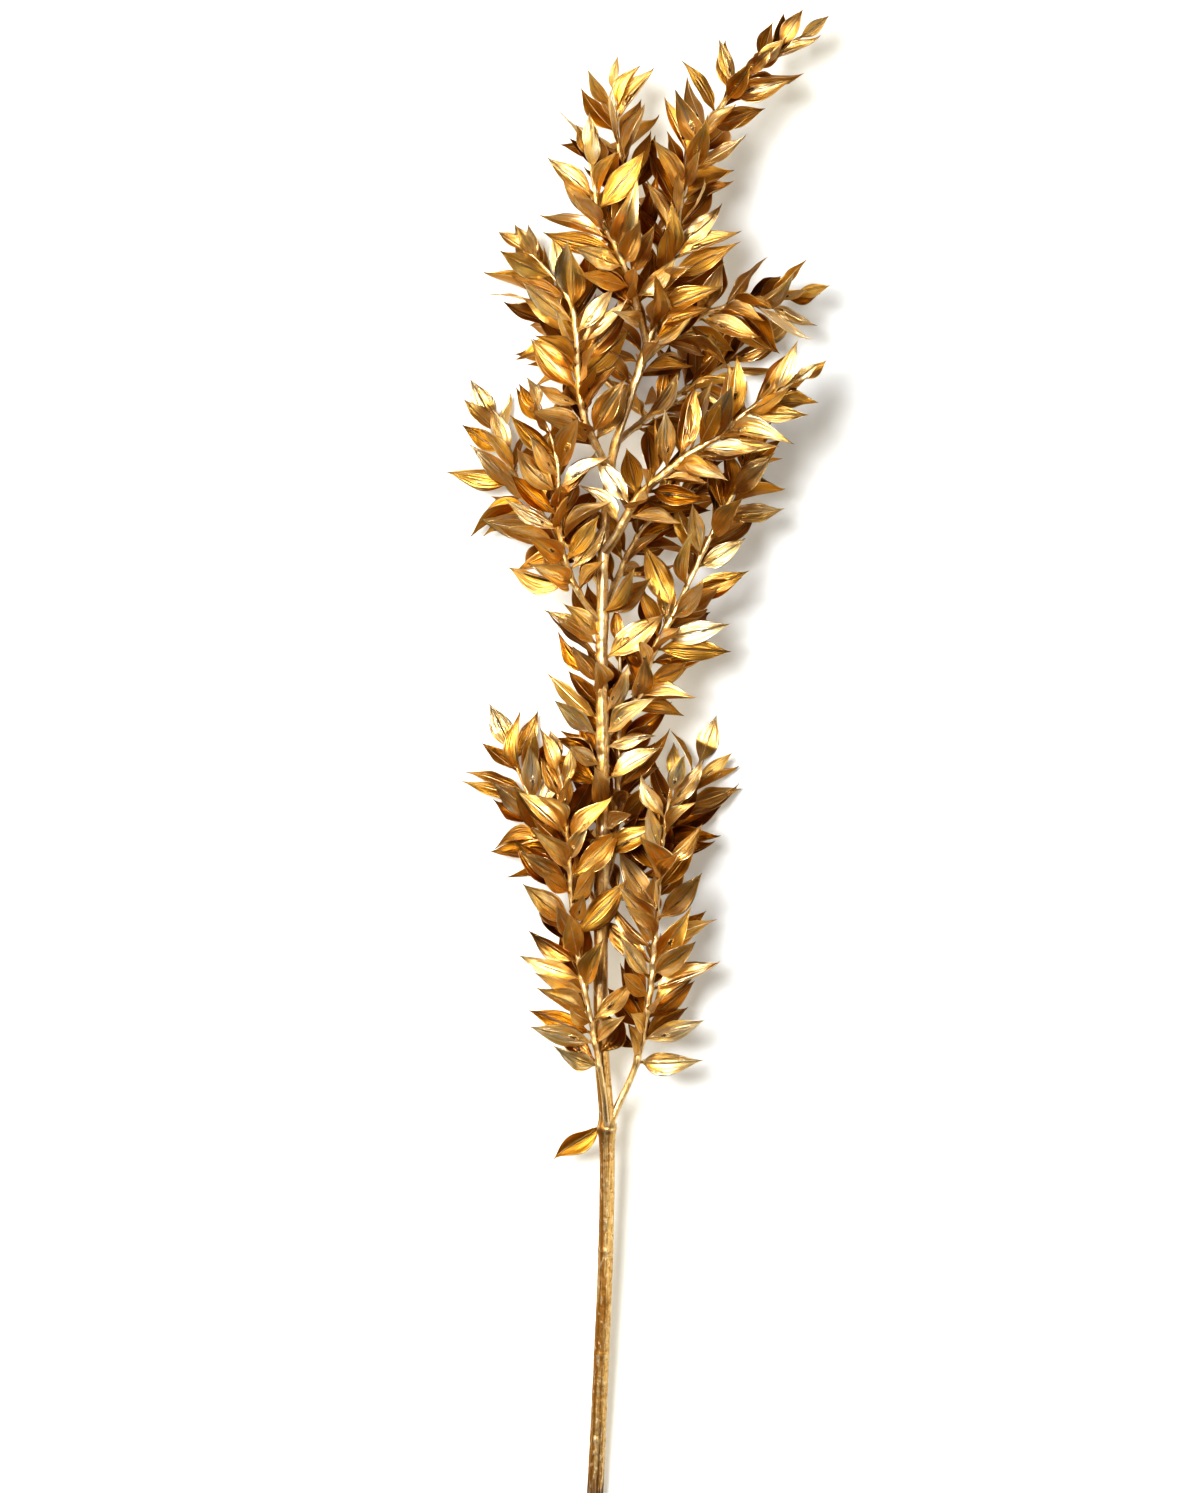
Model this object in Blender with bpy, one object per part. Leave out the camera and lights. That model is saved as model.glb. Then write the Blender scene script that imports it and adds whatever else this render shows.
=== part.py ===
"""Dried ruscus stem, painted gold and laid on a surface.

One main stem carries leafy side shoots. What looks like a leaf is a cladode, a
stiff, pointed blade. Each shoot is one solid with its cladodes fused to it, and
ends in a saddle 0.3 mm off the bark of the main stem. The tip points along +Y,
and the surface that the stem lies on is Z = 0.
"""

import math
import random

import bmesh
import bpy
from mathutils import Vector
from mathutils.bvhtree import BVHTree

MM = 0.001

# Driving dimensions
CLADODE_LENGTH = 29.0 * MM
CLADODE_WIDTH_SHARE = 0.38  # widest width over length
CLADODE_SPACING = 4.65 * MM  # along a shoot
BLADE_THICKNESS = 0.7 * MM
STALK_WIDTH = 1.2 * MM  # of the short stalk under a blade
STEM_RADIUS = 3.5 * MM  # at the cut end
SWELLING = 0.7 * MM  # of the main stem where shoots leave it
SWELLING_REACH = 4.5 * MM  # to each side of it
JOINT_GAP = 0.3 * MM  # between a shoot's saddle and the bark
FREE_SPACE = 0.45 * MM  # kept round every cladode
FLOOR_SPACE = 1.0 * MM  # between the surface and the cladodes that don't lie on it
FOOT_LENGTH = 30 * MM  # of the cladodes that lie on it

# The middle of the stem's outline, measured as in the routes below
LAID_MIDDLE = Vector((15.8 * MM, 329.2 * MM, 0.0))

# Routes of the axes, in mm: across, along and above the surface
MAIN_ROUTE = (
    (-6.5, -20, 3.1), (-4.6, 20, 7.3), (-1.7, 80, 14.5), (0.9, 144, 22), (1.3, 195, 29),
    (-0.9, 228, 33), (-1.5, 262, 37), (-0.8, 305, 42), (-0.4, 347, 47), (-0.9, 407, 51),
    (0, 448, 53), (3, 482, 54), (11, 510, 54.5), (22, 544, 54.5), (30.5, 579, 54),
    (33.5, 599, 53), (41, 619, 52), (54.5, 642, 50), (71, 657, 48), (84, 666, 47),
)

# Shares of the stem's radius by distance along it, in mm
MAIN_RADII = ((0, 1), (215, 0.93), (370, 0.76), (470, 0.6), (530, 0.48), (620, 0.32), (720, 0.2))


class Shoot:
    """A leafy side shoot: its route, its radii at both ends and its bare first stretch, all in mm."""

    def __init__(self, name, route, radii=(1.4, 0.65), bare=14.0, turn=0.0, has_foot=False):
        self.name = name
        self.route = route
        self.radii = radii
        self.bare = bare
        self.turn = turn
        self.has_foot = has_foot  # its last cladode lies on the surface


# Those that lie in front or show best come first, because each keeps clear of those before it
SHOOTS = (
    Shoot("shoot_right_fork", ((0, 445, 53), (5, 451, 57.5), (11, 462, 61), (18, 471, 64),
        (34, 484, 68), (49.5, 494, 70), (60, 503, 71), (71.5, 510, 71), (82, 518, 70)), (2.0, 0.7), 14, 40),
    Shoot("shoot_left_front", ((-1, 414, 51.5), (-7, 421, 55), (-13, 431, 58), (-18, 446, 61),
        (-19.5, 467, 65), (-20.5, 486, 67), (-28, 505, 68)), (1.3, 0.65), 17, 200),
    Shoot("shoot_left_top", ((3, 479, 54), (-1, 485.5, 58), (-8, 500, 63), (-11, 518, 66),
        (-12, 538, 67), (-15, 552, 67), (-24, 564, 66), (-33, 573, 65)), (1.5, 0.65), 14, 90),
    Shoot("shoot_centre_top", ((18.5, 533, 54.5), (15.5, 544, 60), (10.5, 561, 66), (3.4, 577, 70),
        (-1.7, 585, 71), (-4.3, 600, 71), (-6, 612, 70)), (1.3, 0.65), 12, 310),
    Shoot("shoot_right_long", ((-0.4, 364, 48), (9.9, 376, 47), (17, 387, 46), (20, 399, 46),
        (28, 414.5, 47), (33, 424, 48), (44, 447.5, 49), (56, 471, 48), (65, 488, 46)), (1.5, 0.65), 16, 130),
    Shoot("shoot_left_low", ((1.3, 194, 29), (0.8, 201, 36), (-0.5, 214, 42.5), (-5, 240, 46),
        (-10.5, 267, 48), (-14, 293, 50), (-15, 312, 53), (-17, 338, 56), (-20, 354, 58)), (1.3, 0.65), 34, 20),
    Shoot("shoot_right_low", ((1.3, 194, 29), (6.5, 206, 30), (13.5, 222, 32), (18, 243, 35), (21, 265, 38),
        (22.5, 286, 41), (24, 308, 44), (26.5, 329, 46), (29.5, 346, 47)), (1.6, 0.65), 33, 260),
    Shoot("shoot_right_top", ((17, 527, 54.5), (24, 533, 53), (31, 539, 51), (47.5, 549, 47),
        (67, 552, 44), (82, 556, 42)), (1.3, 0.65), 10, 75),
    Shoot("shoot_inner_top", ((27.5, 567, 54), (20, 583, 49), (13.5, 596, 47), (7.5, 612, 46),
        (5, 632, 45), (4, 643, 45)), (1.2, 0.6), 13, 160),
    Shoot("shoot_right_inner", ((-1, 417, 51.5), (3.9, 429, 44), (12, 447.5, 38), (20, 458.5, 36),
        (31, 467, 34), (43, 474, 32)), (1.3, 0.65), 17, 15),
    Shoot("shoot_behind", ((-0.9, 300, 41.5), (2.5, 308, 35), (5.2, 326, 35), (6, 348, 38), (6.6, 376, 42),
        (7, 405, 44)), (1.3, 0.65), 16, 110),
    Shoot("shoot_left_back_low", ((-1.2, 290, 40.5), (-8, 300, 33), (-20, 317, 23), (-32, 338, 13.5),
        (-41, 360, 7)), (1.4, 0.65), 15, 220, True),
    Shoot("shoot_right_back_low", ((-1.2, 286, 40), (6, 295, 30), (19, 311, 21), (32, 332, 13),
        (42, 354, 7)), (1.4, 0.65), 16, 60, True),
    Shoot("shoot_left_back", ((-0.8, 430, 52), (-10, 442, 42), (-25, 459, 28), (-39, 480, 15),
        (-49, 503, 7)), (1.4, 0.65), 16, 300, True),
    Shoot("shoot_right_back", ((4.5, 491, 54), (15, 500, 43), (31, 513, 27), (49, 526, 14),
        (67, 538, 7)), (1.4, 0.65), 16, 190, True),
    Shoot("shoot_left_back_top", ((10.5, 508, 54.5), (0, 520, 44), (-14, 535, 32), (-25, 553, 24),
        (-32, 572, 20)), (1.4, 0.65), 16, 340),
)

# Cladodes on the main stem itself: along its leafy end, and on a stretch in its middle
LEADER_START = 540 * MM
MIDDLE_START, MIDDLE_END, MIDDLE_SPACING = 330 * MM, 440 * MM, 6.0 * MM

# Shares of the full length, and degrees from the axis, from the oldest cladode of a shoot to its tip
SIZES = ((0, 0.95), (0.3, 1.06), (0.7, 1.0), (0.92, 0.82), (1, 0.66))
PITCHES = ((0, 62), (0.5, 54), (0.9, 38), (1, 10))

GOLDEN_TURN = math.radians(137.5)
SPRAY_FLATNESS = 0.72  # a dried, packed shoot is flatter than it is wide
WIDEST = 0.395  # share of the length at which a cladode is widest
STALK_SINK = 2.5 * MM  # from a shoot's tip back to its last cladode
MAIN_SIDES, SHOOT_SIDES = 8, 5
RING_SPACING = 12 * MM  # along a shoot
TRIALS = 48
SEED = 7


def to_place(point_mm):
    """A route's point as a place in the model, in metres."""
    return Vector(point_mm) * MM - LAID_MIDDLE


def smooth_line(route, step):
    """Points a step apart on a smooth curve through the route's own points."""
    knots = [to_place(p) for p in route]
    ends = [2 * knots[0] - knots[1]] + knots + [2 * knots[-1] - knots[-2]]
    fine = []
    for before, a, b, after in zip(ends, ends[1:], ends[2:], ends[3:]):
        for i in range(24):
            t = i / 24
            fine.append(
                a
                + (b - before) * (0.5 * t)
                + (2 * before - 5 * a + 4 * b - after) * (0.5 * t * t)
                + (3 * a - before - 3 * b + after) * (0.5 * t**3)
            )
    fine.append(knots[-1])
    lengths = [0.0]
    for a, b in zip(fine, fine[1:]):
        lengths.append(lengths[-1] + (b - a).length)
    count = max(2, round(lengths[-1] / step))
    line, k = [], 0
    for i in range(count + 1):
        wanted = lengths[-1] * i / count
        while k < len(fine) - 2 and lengths[k + 1] < wanted:
            k += 1
        share = (wanted - lengths[k]) / (lengths[k + 1] - lengths[k])
        line.append(fine[k].lerp(fine[k + 1], share))
    return line


class Axis:
    """A smooth line with its length, and the place and direction at any distance along it."""

    def __init__(self, route):
        self.line = smooth_line(route, 1.0 * MM)
        self.step = (self.line[1] - self.line[0]).length
        self.length = self.step * (len(self.line) - 1)

    def at(self, distance):
        x = min(max(distance / self.step, 0.0), len(self.line) - 1.001)
        k = int(x)
        return self.line[k].lerp(self.line[k + 1], x - k)

    def direction(self, distance):
        return (self.at(distance + 2 * MM) - self.at(distance - 2 * MM)).normalized()


def blended(table, x):
    """Reads a table of (x, value) pairs, blending between them."""
    for (x0, y0), (x1, y1) in zip(table, table[1:]):
        if x <= x1:
            return y0 + (y1 - y0) * max(0.0, (x - x0) / (x1 - x0))
    return table[-1][1]


class Cladode:
    """One blade: its root on its axis, direction, the way it faces, its bend, sideways curve and twist.

    Its stalk is the straight first stretch. A pressed blade lies flat on the surface where it meets it.
    """

    def __init__(self, root, along, face, length, width, stalk, bend, sickle, twist, pressed=False):
        self.root = root
        self.along = along
        self.face = (face - along * face.dot(along)).normalized()
        self.side = self.face.cross(self.along)
        self.length = length
        self.width = width
        self.stalk = stalk
        self.bend = bend
        self.sickle = sickle
        self.twist = twist
        self.pressed = pressed
        self.rings = (0.24, 0.5, 0.78) if pressed else (0.26, 0.6)

    def half_width(self, u):
        """Widest at WIDEST, with a drawn out point."""
        leaf = (u / WIDEST) ** 0.85 * ((1 - u) / (1 - WIDEST)) ** 1.3
        return max(self.width / 2 * leaf, STALK_WIDTH / 2 * (1 - u))

    def at(self, u, v, swell=0.0):
        """The middle surface's point, u along and v across from -1 to 1, and its normal."""
        middle = self.along * u + (self.face * self.bend + self.side * self.sickle) * (u * u / 2)
        turn = self.twist * u
        across = self.side * math.cos(turn) + self.face * math.sin(turn)
        up = self.face * math.cos(turn) - self.side * math.sin(turn)
        point = self.root + middle * self.length + across * (v * (self.half_width(u) + swell))
        normal = (up - self.along * (self.bend * u)).normalized()
        if self.pressed and point.z < BLADE_THICKNESS / 2:
            point.z = BLADE_THICKNESS / 2
            normal = Vector((0, 0, 1))
        return point, normal

    def mesh(self, start=0.0, end=None, rings=None, swell=0.0):
        """Corners and faces of the closed blade.

        It is a straight stalk between two distances from the root, then four-cornered
        rings at these shares of the length, then one tip.
        """
        half = BLADE_THICKNESS / 2 + swell
        side = self.side * (STALK_WIDTH / 2 + swell)
        corners = []
        for distance in (start, end or self.stalk):
            middle = self.root + self.along * distance
            corners += [middle + a * side + b * half * self.face for a in (-1, 1) for b in (1, -1)]
        for u in rings or self.rings:
            for v in (-1, 1):
                point, normal = self.at(u, v, swell)
                corners += [point + normal * half, point - normal * half]
        faces = [(0, 1, 3, 2), (0, 2, 6, 4), (3, 1, 5, 7), (1, 0, 4, 5), (2, 3, 7, 6)]
        tip = len(corners)
        corners.append(self.at(1.0, 0)[0])
        for a in range(4, tip - 4, 4):
            b = a + 4
            faces += [(a, a + 2, b + 2), (a, b + 2, b), (a + 3, a + 1, b + 3), (a + 1, b + 1, b + 3)]
            faces += [(a + 1, a, b, b + 1), (a + 2, a + 3, b + 3, b + 2)]
        a = tip - 4
        faces += [(a, a + 2, tip), (a + 3, a + 1, tip), (a + 1, a, tip), (a + 2, a + 3, tip)]
        return corners, faces


class Thing:
    """Something that cladodes keep clear of, with a ball round it for a quick first test."""

    def __init__(self, corners, faces, owner, is_blade=True):
        self.tree = BVHTree.FromPolygons(corners, faces)
        self.is_blade = is_blade
        low = Vector([min(c[i] for c in corners) for i in range(3)])
        high = Vector([max(c[i] for c in corners) for i in range(3)])
        self.middle = (low + high) / 2
        self.reach = (high - low).length / 2
        self.owner = owner

    def meets(self, other):
        near = (self.middle - other.middle).length < self.reach + other.reach
        return near and bool(self.tree.overlap(other.tree))


def even_steps(end, step):
    """Distances from 0 to the end, about a step apart."""
    count = max(2, round(end / step))
    return [end * i / count for i in range(count + 1)]


def tube_mesh(axis, radius_at, sides, distances):
    """Corners and faces of a closed tube along an axis, its corners no lower than the surface."""
    corners = []
    side = axis.direction(0.0).cross(Vector((0, 0, 1))).normalized()
    for distance in distances:
        along = axis.direction(distance)
        side = (side - along * side.dot(along)).normalized()
        up = side.cross(along)
        radius = radius_at(distance)
        for k in range(sides):
            turn = math.tau * (k + 0.5) / sides
            corner = axis.at(distance) + (side * math.cos(turn) + up * math.sin(turn)) * radius
            corner.z = max(corner.z, 0.0)
            corners.append(corner)
    last = len(corners) - sides
    faces = [tuple(range(sides)), tuple(reversed(range(last, len(corners))))]
    for ring in range(0, last, sides):
        for k in range(sides):
            a, b = ring + k, ring + (k + 1) % sides
            faces.append((a, a + sides, b + sides, b))
    return corners, faces


def main_radius(distance):
    """The main stem's radius: it tapers, and swells a little where shoots leave it."""
    radius = STEM_RADIUS * blended(MAIN_RADII, distance / MM)
    swelling = max(math.exp(-(((distance - d) / SWELLING_REACH) ** 2)) for d in JOINTS)
    return radius + SWELLING * swelling * radius / STEM_RADIUS


def shoot_radius(shoot, axis):
    """A shoot's radius at a distance along it, a little wider at its base."""
    base, tip = shoot.radii

    def radius_at(distance):
        flare = 1 + 0.35 * math.exp(-distance / (7 * MM))
        return (base + (tip - base) * distance / axis.length) * MM * flare

    return radius_at


MAIN = Axis(MAIN_ROUTE)
JOINTS = sorted(
    min(range(len(MAIN.line)), key=lambda k: (MAIN.line[k] - to_place(s.route[0])).length) * MAIN.step
    for s in SHOOTS
)


def main_rings():
    """Where the main stem has its rings: about 20 mm apart, and three round each joint."""
    close = [d + shift for d in JOINTS for shift in (-SWELLING_REACH, 0.0, SWELLING_REACH)]
    rings = [0.0]
    for distance in sorted(close + even_steps(MAIN.length, 20 * MM)[1:-1]):
        if rings[-1] + 3 * MM < distance < MAIN.length - 3 * MM:
            rings.append(distance)
    return rings + [MAIN.length]


def drawn_cladode(axis, radius, distance, turn, age, draw, ease):
    """A cladode at a distance along an axis, turned round it.

    Its age runs from 0, the oldest, to 1, the one at the tip. ease, from 0 to 1, lets a draw stray.
    """
    along = axis.direction(distance)
    up = (Vector((0, 0, 1)) - along * along.z).normalized()
    side = along.cross(up)
    turn += draw.gauss(0, 0.12) + draw.uniform(-1.3, 1.3) * ease
    out = (side * math.cos(turn) + up * (math.sin(turn) * SPRAY_FLATNESS)).normalized()
    pitch = math.radians(blended(PITCHES, age) + draw.gauss(0, 6) + draw.uniform(-26, 14) * ease)
    direction = along * math.cos(pitch) + out * math.sin(pitch)
    face = up * 0.9 + along * 0.3 - out * 0.25
    face = (face - direction * face.dot(direction)).normalized()
    roll = math.radians(draw.gauss(0, 20) + draw.uniform(-55, 55) * ease)
    face = face * math.cos(roll) + direction.cross(face) * math.sin(roll)
    length = CLADODE_LENGTH * blended(SIZES, age) * draw.uniform(0.84, 1.14)
    length *= 1 - 0.28 * ease * draw.random()
    width = length * CLADODE_WIDTH_SHARE * draw.uniform(0.88, 1.12)
    toward_tip = 1 if face.cross(direction).dot(along) > 0 else -1
    stalk = min(
        (radius + 0.9 * MM) / max(math.sin(pitch), 0.3),
        (axis.length - distance + 1.0 * MM) / max(math.cos(pitch), 0.3),
    )
    return Cladode(
        root=axis.at(distance),
        along=direction,
        face=face,
        length=length,
        width=width,
        stalk=stalk,
        bend=draw.gauss(-0.14, 0.24),
        sickle=toward_tip * draw.uniform(-0.04, 0.32),
        twist=draw.gauss(0, 0.32),
    )


def foot_cladode(axis):
    """The cladode at the tip of a low shoot, which lies flat on the surface from its middle on."""
    distance = axis.length - STALK_SINK
    root = axis.at(distance)
    ahead = axis.direction(distance)
    fall = (root.z - BLADE_THICKNESS / 2) / (0.42 * FOOT_LENGTH)
    along = Vector((ahead.x, ahead.y, 0)).normalized() * math.sqrt(1 - fall * fall) - Vector((0, 0, fall))
    width = FOOT_LENGTH * CLADODE_WIDTH_SHARE
    return Cladode(root, along, Vector((0, 0, 1)), FOOT_LENGTH, width, 3.6 * MM, 0, 0.1, 0, pressed=True)


def guard_of(cladode, owner):
    """The blade with its free space, from where it leaves the bark."""
    start = max(cladode.stalk - 0.6 * MM, 0)
    return Thing(*cladode.mesh(start, swell=FREE_SPACE), owner)


def outer_guard_of(cladode, owner):
    """The same for the outer part alone, which keeps clear of its own axis too."""
    start, end = 0.3 * cladode.length, 0.34 * cladode.length
    return Thing(*cladode.mesh(start, end, (0.6,), FREE_SPACE), owner)


def is_clear(cladode, owner, things):
    """Does it keep clear of the surface and of everything that is there already?"""
    if min(cladode.at(u, v)[0].z for u in (0.4, 0.7, 1) for v in (-1, 1)) < FLOOR_SPACE:
        return False
    guard = guard_of(cladode, owner)
    if any(guard.meets(t) for t in things if t.owner != owner or t.is_blade):
        return False
    outer = outer_guard_of(cladode, owner)
    return not any(outer.meets(t) for t in things if t.owner == owner and not t.is_blade)


def grow_cladodes(name, axis, radius_at, places, turn, things, draw):
    """The cladodes at these places, each the first draw that is clear of all the others."""
    grown = []
    for distance, age in places:
        turn += GOLDEN_TURN
        for trial in range(TRIALS):
            tried = drawn_cladode(axis, radius_at(distance), distance, turn, age, draw, trial / TRIALS)
            if is_clear(tried, name, things):
                things.append(Thing(*tried.mesh(), name))
                grown.append(tried)
                break
    return grown


def places_along(start, end, spacing, youngest=1.0):
    """Distances from start to end, about a spacing apart, each with its cladode's age."""
    count = max(3, round((end - start) / spacing))
    return [(start + (end - start) * i / (count - 1), youngest * i / (count - 1)) for i in range(count)]


def lay_out():
    """Every axis with its cladodes, as {name: (axis, radius_at, cladodes)}."""
    draw = random.Random(SEED)
    axes = {"main_stem": (MAIN, main_radius, [])}
    for shoot in SHOOTS:
        axis = Axis(shoot.route)
        axes[shoot.name] = (axis, shoot_radius(shoot, axis), [])
    things = []
    for name, (axis, radius_at, _) in axes.items():
        tube = tube_mesh(axis, radius_at, MAIN_SIDES, even_steps(axis.length, RING_SPACING / 2))
        things.append(Thing(*tube, name, is_blade=False))
    for shoot in SHOOTS:
        if shoot.has_foot:
            axis, _, cladodes = axes[shoot.name]
            cladodes.append(foot_cladode(axis))
            things.append(Thing(*cladodes[0].mesh(), shoot.name))
    leader = places_along(LEADER_START, MAIN.length - STALK_SINK, CLADODE_SPACING)
    axes["main_stem"][2].extend(grow_cladodes("main_stem", MAIN, main_radius, leader, 0.4, things, draw))
    for shoot in SHOOTS:
        axis, radius_at, cladodes = axes[shoot.name]
        left, youngest = (6 * MM, 0.85) if shoot.has_foot else (STALK_SINK, 1.0)
        places = places_along(shoot.bare * MM, axis.length - left, CLADODE_SPACING, youngest)
        turn = math.radians(shoot.turn)
        cladodes.extend(grow_cladodes(shoot.name, axis, radius_at, places, turn, things, draw))
    middle = places_along(MIDDLE_START, MIDDLE_END, MIDDLE_SPACING, 0.4)
    axes["main_stem"][2].extend(grow_cladodes("main_stem", MAIN, main_radius, middle, 2.0, things, draw))
    return axes


def gold(name, colour, roughness):
    """A gold paint, as a principled material."""
    material = bpy.data.materials.new(name)
    material.use_nodes = True
    shader = material.node_tree.nodes["Principled BSDF"]
    shader.inputs["Base Color"].default_value = (*colour, 1)
    shader.inputs["Roughness"].default_value = roughness
    shader.inputs["Metallic"].default_value = 1.0
    return material


def object_of(name, corners, faces, collection):
    """A new object with that mesh, its faces pointing out."""
    mesh = bpy.data.meshes.new(name)
    work = bmesh.new()
    placed = [work.verts.new(c) for c in corners]
    for face in faces:
        work.faces.new([placed[i] for i in face])
    bmesh.ops.recalc_face_normals(work, faces=work.faces)
    work.to_mesh(mesh)
    work.free()
    made = bpy.data.objects.new(name, mesh)
    collection.objects.link(made)
    return made


def boolean(target, operation, operand):
    """Applies one Boolean with an object or a collection to the target."""
    cut = target.modifiers.new(operation.lower(), "BOOLEAN")
    cut.operation = operation
    cut.solver = "EXACT"
    if isinstance(operand, bpy.types.Collection):
        cut.operand_type = "COLLECTION"
        cut.collection = operand
    else:
        cut.object = operand
    evaluated = target.evaluated_get(bpy.context.evaluated_depsgraph_get())
    mesh = bpy.data.meshes.new_from_object(evaluated)
    target.modifiers.remove(cut)
    target.data = mesh


def leafy_axis(name, tube, cladodes, material):
    """The axis with its cladodes fused to it."""
    scene = bpy.context.scene.collection
    made = object_of(name, *tube, scene)
    blades = bpy.data.collections.new(name + "_cladodes")
    scene.children.link(blades)
    for k, cladode in enumerate(cladodes):
        object_of(f"{name}_cladode_{k}", *cladode.mesh(), blades)
    boolean(made, "UNION", blades)
    made.data.shade_smooth()
    made.data.set_sharp_from_angle(angle=math.radians(35))
    for blade in list(blades.objects):
        bpy.data.objects.remove(blade)
    bpy.data.collections.remove(blades)
    made.data.materials.clear()
    made.data.materials.append(material)
    return made


def main():
    for old in list(bpy.data.objects):
        bpy.data.objects.remove(old)
    bark = gold("gold_bark", (0.66, 0.45, 0.20), 0.42)
    blade = gold("gold_blade", (0.83, 0.58, 0.26), 0.32)
    laid = lay_out()
    swollen = tube_mesh(MAIN, lambda d: main_radius(d) + JOINT_GAP, MAIN_SIDES, main_rings())
    cutter = object_of("bark_clearance", *swollen, bpy.context.scene.collection)
    cutter.hide_render = True
    cutter.display_type = "WIRE"
    for name, (axis, radius_at, cladodes) in laid.items():
        if name == "main_stem":
            leafy_axis(name, tube_mesh(axis, radius_at, MAIN_SIDES, main_rings()), cladodes, bark)
            continue
        tube = tube_mesh(axis, radius_at, SHOOT_SIDES, even_steps(axis.length, RING_SPACING))
        boolean(leafy_axis(name, tube, cladodes, blade), "DIFFERENCE", cutter)
    bpy.data.objects.remove(cutter)


main()
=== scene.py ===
"""Looks of the dried ruscus stem: fine cladodes, ridged bark and gold paint.

The part's own layout of axes and cladodes is repeated here with the same seed, so
each fine cladode lies where its plain one does. More of them fill the gaps between.
"""

import math
import random

import bpy
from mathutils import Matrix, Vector
from mathutils.bvhtree import BVHTree
from mathutils.kdtree import KDTree


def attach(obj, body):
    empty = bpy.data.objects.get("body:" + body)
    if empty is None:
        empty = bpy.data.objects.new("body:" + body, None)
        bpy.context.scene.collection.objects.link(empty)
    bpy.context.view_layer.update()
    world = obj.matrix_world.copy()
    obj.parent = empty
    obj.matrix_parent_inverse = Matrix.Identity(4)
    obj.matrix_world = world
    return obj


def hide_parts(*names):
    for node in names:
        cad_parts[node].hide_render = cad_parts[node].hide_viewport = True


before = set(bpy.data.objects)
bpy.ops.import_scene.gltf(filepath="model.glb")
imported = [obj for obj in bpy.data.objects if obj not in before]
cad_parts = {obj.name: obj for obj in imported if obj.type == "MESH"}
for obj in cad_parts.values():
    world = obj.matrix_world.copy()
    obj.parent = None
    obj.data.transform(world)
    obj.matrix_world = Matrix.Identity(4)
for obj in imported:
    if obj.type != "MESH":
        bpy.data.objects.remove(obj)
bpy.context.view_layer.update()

MM = 0.001

# Sizes of the plain part
CLADODE_LENGTH = 29.0 * MM
CLADODE_WIDTH_SHARE = 0.38  # widest width over length
CLADODE_SPACING = 4.65 * MM  # along a shoot
BLADE_THICKNESS = 0.7 * MM  # of a plain blade
STALK_WIDTH = 1.2 * MM  # of the short stalk under a blade
STEM_RADIUS = 3.5 * MM  # at the cut end
SWELLING = 0.7 * MM  # of the main stem where shoots leave it
SWELLING_REACH = 4.5 * MM  # to each side of it
FREE_SPACE = 0.45 * MM  # kept round every cladode
FLOOR_SPACE = 1.0 * MM  # between the surface and the cladodes that don't lie on it
FOOT_LENGTH = 30 * MM  # of the cladodes that lie on it

# The middle of the stem's outline, measured as in the routes below
LAID_MIDDLE = Vector((15.8 * MM, 329.2 * MM, 0.0))

# Routes of the axes, in mm: across, along and above the surface
MAIN_ROUTE = (
    (-6.5, -20, 3.1), (-4.6, 20, 7.3), (-1.7, 80, 14.5), (0.9, 144, 22), (1.3, 195, 29),
    (-0.9, 228, 33), (-1.5, 262, 37), (-0.8, 305, 42), (-0.4, 347, 47), (-0.9, 407, 51),
    (0, 448, 53), (3, 482, 54), (11, 510, 54.5), (22, 544, 54.5), (30.5, 579, 54),
    (33.5, 599, 53), (41, 619, 52), (54.5, 642, 50), (71, 657, 48), (84, 666, 47),
)

# Shares of the stem's radius by distance along it, in mm
MAIN_RADII = ((0, 1), (215, 0.93), (370, 0.76), (470, 0.6), (530, 0.48), (620, 0.32), (720, 0.2))


class Shoot:
    """A leafy side shoot: its route, radii at both ends and bare first stretch in mm, its turn in degrees."""

    def __init__(self, name, route, radii, bare, turn, has_foot=False):
        self.name = name
        self.route = route
        self.radii = radii
        self.bare = bare
        self.turn = turn
        self.has_foot = has_foot  # its last cladode lies on the surface


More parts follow.
